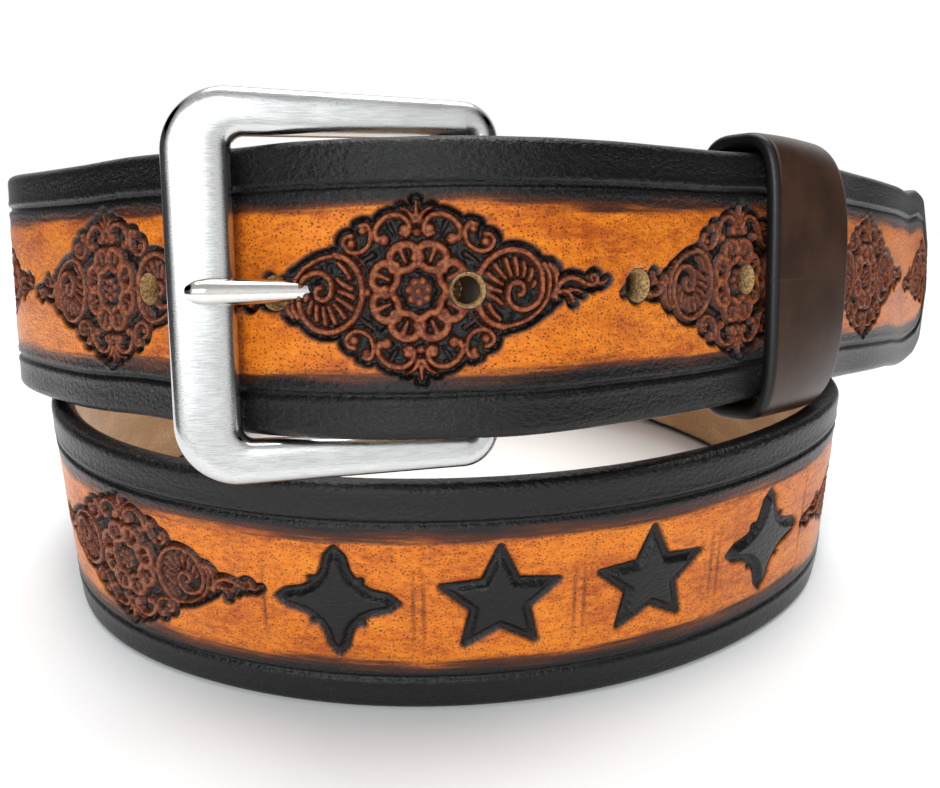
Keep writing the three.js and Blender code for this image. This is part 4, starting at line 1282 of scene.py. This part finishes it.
def make_frame(material):
    rows = frame_stations(20, 40)
    sides = 64
    outer, inner, heel = rows[:, 0:2], rows[:, 2:4], rows[:, 4]
    angle = (np.arange(sides) + 0.5) / sides * 2 * math.pi
    power = mix(BAR_SQUARENESS, 1, heel)[:, None]
    half = mix(FRAME_THICKNESS / 2, HEEL_BAR_RADIUS, heel)[:, None]
    across, depth = squared(angle[None, :], power)
    share = ((across + 1) / 2)[..., None]
    flat = mix(inner[:, None], outer[:, None], share)
    out = depth * half
    rings = buckle_point(flat[..., 0], flat[..., 1], out)
    place = np.stack([flat[..., 0], flat[..., 1], out], axis=2)
    polish = smooth(0.72, 0.97, np.abs(across)) * np.ones(out.shape)
    piece = ring_mesh("buckle", rings, [material], closed=True, attributes={"place": place, "polish": polish})
    hand_over(piece, "brushed_nickel", "buckle_frame")


def make_prong(polished, eye_shade):
    """The shank with its bulb, and the eye round the heel bar, joined to one body."""
    shank = ring_mesh("prong_pin", prong_rings(0, 90, 40), [polished])
    inner = HEEL_BAR_RADIUS + LAYER_GAP
    outer = inner + PRONG_EYE_WALL
    half = PRONG_EYE_HEIGHT / 2
    soft = 0.45
    profile = []
    for radius, up, start in ((outer - soft, half - soft, 0), (inner + soft, half - soft, 90),
                              (inner + soft, -half + soft, 180), (outer - soft, -half + soft, 270)):
        for angle in np.radians(np.linspace(start, start + 90, 6)):
            profile.append((radius + soft * math.cos(angle), up + soft * math.sin(angle)))
    profile = np.array(profile)
    around = np.arange(72) / 72 * 2 * math.pi
    reach = np.outer(np.cos(around), profile[:, 0])
    out = np.outer(np.sin(around), profile[:, 0])
    up = np.broadcast_to(profile[:, 1], reach.shape)
    # The eye gets a dark colour that paints the shade inside the fold.
    eye = ring_mesh("prong_eye", buckle_point(reach, up, out), [eye_shade], closed=True)
    combine(shank, [eye], "UNION")
    hand_over(shank, "polished_nickel", "prong")


# Keeper and posts


def even_turns(sides):
    """Cosines and sines that space points evenly round the keeper's squarish loop."""
    share = np.linspace(0, 1, 400, endpoint=False) ** KEEPER_SQUARENESS
    back = (1 - np.linspace(0, 1, 400, endpoint=False)) ** KEEPER_SQUARENESS
    quarter = share / (share + back) * math.pi / 2
    angle = np.concatenate([quarter + k * math.pi / 2 for k in range(4)])
    out = np.sign(np.cos(angle)) * np.abs(np.cos(angle)) ** (2 / KEEPER_SQUARENESS) * LAYER_PITCH
    up = np.sign(np.sin(angle)) * np.abs(np.sin(angle)) ** (2 / KEEPER_SQUARENESS) * HALF_WIDTH
    steps = np.hypot(np.diff(out, prepend=out[0]), np.diff(up, prepend=up[0]))
    length = np.cumsum(steps)
    spaced = np.interp((np.arange(sides) + 0.5) / sides * length[-1], length, angle)
    return np.cos(spaced), np.sin(spaced)


KEEPER_TURNS = even_turns(260)


def keeper_section(grow, flare):
    """Points round the loop's squarish oval, out and up, that far off its inner face."""
    middle = (KEEPER_ABOVE - KEEPER_BELOW) / 2
    half_up = (STRAP_WIDTH + KEEPER_ABOVE + KEEPER_BELOW) / 2
    half_out = (LAYER_PITCH + STRAP_THICKNESS) / 2 + KEEPER_GAP
    cos, sin = KEEPER_TURNS
    opened = np.where(cos > 0, flare, 0)
    half = half_out + KEEPER_FLARE * opened
    power = 2 / mix(KEEPER_SQUARENESS, KEEPER_FLARE_SQUARENESS, opened)
    normal = [
        np.sign(side) * np.abs(side) ** (2 - power) / size for side, size in ((cos, half), (sin, half_up))
    ]
    scale = grow / np.hypot(*normal)
    out = -LAYER_PITCH / 2 + np.sign(cos) * np.abs(cos) ** power * half + normal[0] * scale
    up = middle + np.sign(sin) * np.abs(sin) ** power * half_up + normal[1] * scale
    return np.column_stack([out, up])


def make_keeper(material):
    """The loop as rings round the strap, one for each point of the leather's section with its round rims."""
    soft = 1.0
    rows = 24
    spread = np.linspace(soft, KEEPER_WIDTH - soft, rows)
    profile = [(along, KEEPER_THICKNESS) for along in spread[::-1]]
    for middle, grow, first in (
        (soft, KEEPER_THICKNESS - soft, 90),
        (soft, soft, 180),
        (KEEPER_WIDTH - soft, soft, 270),
        (KEEPER_WIDTH - soft, KEEPER_THICKNESS - soft, 0),
    ):
        for angle in np.radians(np.linspace(first, first + 90, 9)):
            profile.append((middle + soft * math.cos(angle), grow + soft * math.sin(angle)))
        if first == 180:
            profile += [(along, 0) for along in spread[1:-1]]
    along, grow = np.array(profile).T
    sections = np.array([keeper_section(g, a / KEEPER_WIDTH) for a, g in zip(along, grow)])
    at = belt.at(PRONG_HOLE + KEEPER_STATION + along)
    rings = at.centre[:, None] + at.out[:, None] * sections[..., :1] + at.across[:, None] * sections[..., 1:]
    steps = np.linalg.norm(np.diff(sections[0], axis=0, prepend=sections[0][:1]), axis=1)
    girth = np.broadcast_to(np.cumsum(steps), sections.shape[:2])
    parts = (along[:, None], girth, grow[:, None])
    place = np.stack([np.broadcast_to(part, girth.shape) for part in parts], axis=2)
    piece = ring_mesh("keeper_loop", rings, [material], closed=True, attributes={"place": place})
    hand_over(piece, "keeper_leather", "keeper")


def make_posts(material):
    """Flat-headed posts through the fold and the strap."""
    for number, station in enumerate(POST_STATIONS, 1):
        at = belt.at(HEEL_LENGTH + station)
        front = FACE - POST_INSET
        back = -LAYER_PITCH - FACE + POST_INSET
        soft = 0.3
        flat = POST_FLANGE_RADIUS - soft
        low, high = back + POST_FLANGE_THICKNESS, front - POST_FLANGE_THICKNESS
        half = [(0.05, back), (flat, back + 0.02), (POST_FLANGE_RADIUS, back + soft), (POST_FLANGE_RADIUS, low)]
        half += [(POST_SHAFT_RADIUS, low), (POST_SHAFT_RADIUS, high), (POST_FLANGE_RADIUS, high)]
        half += [(POST_FLANGE_RADIUS, front - soft), (flat, front - 0.02), (0.05, front)]
        profile = np.array(half)
        angle = np.arange(48) / 48 * 2 * math.pi
        u = np.outer(profile[:, 0], np.cos(angle))
        v = np.outer(profile[:, 0], np.sin(angle))
        out = np.repeat(profile[:, 1:], 48, 1)
        rings = at.centre + u[..., None] * at.along + v[..., None] * at.across + out[..., None] * at.out
        place = np.stack([u, v, out], axis=2)
        fields = {"place": place, "polish": np.full(u.shape, 0.3)}
        piece = ring_mesh(f"post_{number}", rings, [material], attributes=fields, crease=40)
        hand_over(piece, "brushed_nickel", f"fold_post_{number}")


# Stage

# Brightness of the room by how far a direction points aside, and what it loses upwards: from, to, values
ASIDE = (0.5, 0.85, 1.0, 0.07)
ABOVE = (0.3, 0.8, 0.0, 0.45)
FLOOR_RADIUS = 0.4


def make_floor():
    mesh = bpy.data.meshes.new("floor")
    angle = np.arange(96) / 96 * 2 * math.pi
    rim = [(FLOOR_RADIUS * math.cos(a), FLOOR_RADIUS * math.sin(a), 0) for a in angle]
    mesh.from_pydata(rim, [], [tuple(range(len(rim)))])
    shader = Shader("white_table", Base_Color=(0.93, 0.93, 0.93, 1), Roughness=0.7, Specular_IOR_Level=0.2)
    mesh.materials.append(shader.material)
    floor = bpy.data.objects.new("floor", mesh)
    floor.location.z = -0.00005
    bpy.context.scene.collection.objects.link(floor)


def make_world():
    """A room that is white before and behind the belt, dark at its left and right, and half bright above."""
    world = bpy.data.worlds.new("studio")
    world.use_nodes = True
    nodes, links = world.node_tree.nodes, world.node_tree.links
    facing = nodes.new("ShaderNodeSeparateXYZ")
    links.new(nodes.new("ShaderNodeTexCoord").outputs["Generated"], facing.inputs[0])

    def ramp(value, low, high, to_low, to_high):
        node = nodes.new("ShaderNodeMapRange")
        node.interpolation_type = "SMOOTHSTEP"
        links.new(value, node.inputs["Value"])
        for key, number in zip(("From Min", "From Max", "To Min", "To Max"), (low, high, to_low, to_high)):
            node.inputs[key].default_value = number
        return node.outputs[0]

    aside = nodes.new("ShaderNodeMath")
    aside.operation = "ABSOLUTE"
    links.new(facing.outputs["X"], aside.inputs[0])
    total = nodes.new("ShaderNodeMath")
    total.operation = "SUBTRACT"
    links.new(ramp(aside.outputs[0], *ASIDE), total.inputs[0])
    links.new(ramp(facing.outputs["Z"], *ABOVE), total.inputs[1])
    links.new(total.outputs[0], nodes["Background"].inputs["Color"])
    bpy.context.scene.world = world


def sun(name, direction, power, spread):
    """Even light from far away; direction is towards the light, spread its width in degrees."""
    light = bpy.data.lights.new(name, "SUN")
    light.energy = power
    light.angle = math.radians(spread)
    lamp = bpy.data.objects.new(name, light)
    pitch = math.atan2(math.hypot(direction[0], direction[1]), direction[2])
    lamp.rotation_euler = (pitch, 0, math.atan2(-direction[1], -direction[0]) - math.pi / 2)
    bpy.context.scene.collection.objects.link(lamp)


def soft_light(name, place, target, size, power):
    """A square area light at a place, in metres, that looks at a target."""
    light = bpy.data.lights.new(name, "AREA")
    light.size = size
    light.energy = power
    light.color = (0.9, 0.97, 1.0)
    lamp = bpy.data.objects.new(name, light)
    lamp.location = place
    direction = np.array(target) - np.array(place)
    pitch = math.atan2(np.hypot(direction[0], direction[1]), -direction[2])
    lamp.rotation_euler = (pitch, 0, math.atan2(direction[1], direction[0]) - math.pi / 2)
    bpy.context.scene.collection.objects.link(lamp)


CAMERA_PLACE = (6, -179.8, 94.3)
CAMERA_PITCH = 20.78
FOCAL_PIXELS = 900
PICTURE_WIDTH = 940
SENSOR_WIDTH = 36


def make_camera():
    """The photograph's view of the belt."""
    data = bpy.data.cameras.new("camera")
    data.sensor_width = SENSOR_WIDTH
    data.lens = SENSOR_WIDTH * FOCAL_PIXELS / PICTURE_WIDTH
    data.clip_start = 0.01
    data.clip_end = 200
    camera = bpy.data.objects.new("camera", data)
    camera.location = (np.array(CAMERA_PLACE) + [SHIFT[0], SHIFT[1], 0]) * METRES
    camera.rotation_euler = (math.radians(90 - CAMERA_PITCH), 0, 0)
    bpy.context.scene.collection.objects.link(camera)
    bpy.context.scene.camera = camera


make_camera()
make_world()
make_floor()
sun("ceiling", (0.05, 0.3, 1), 2.9, 50)
soft_light("window", (-0.26, -0.93, 0.48), (0, 0, 0.05), 0.42, 4.5)
bpy.context.scene.view_settings.view_transform = "Standard"

tooled = tooled_leather()
flesh = flesh_side()
raw = raw_leather()
nickel = brushed_nickel()
make_strap(tooled, flesh, raw)
make_frame(nickel)
make_prong(polished_nickel(), eye_shade_nickel())
make_keeper(keeper_leather())
make_posts(nickel)
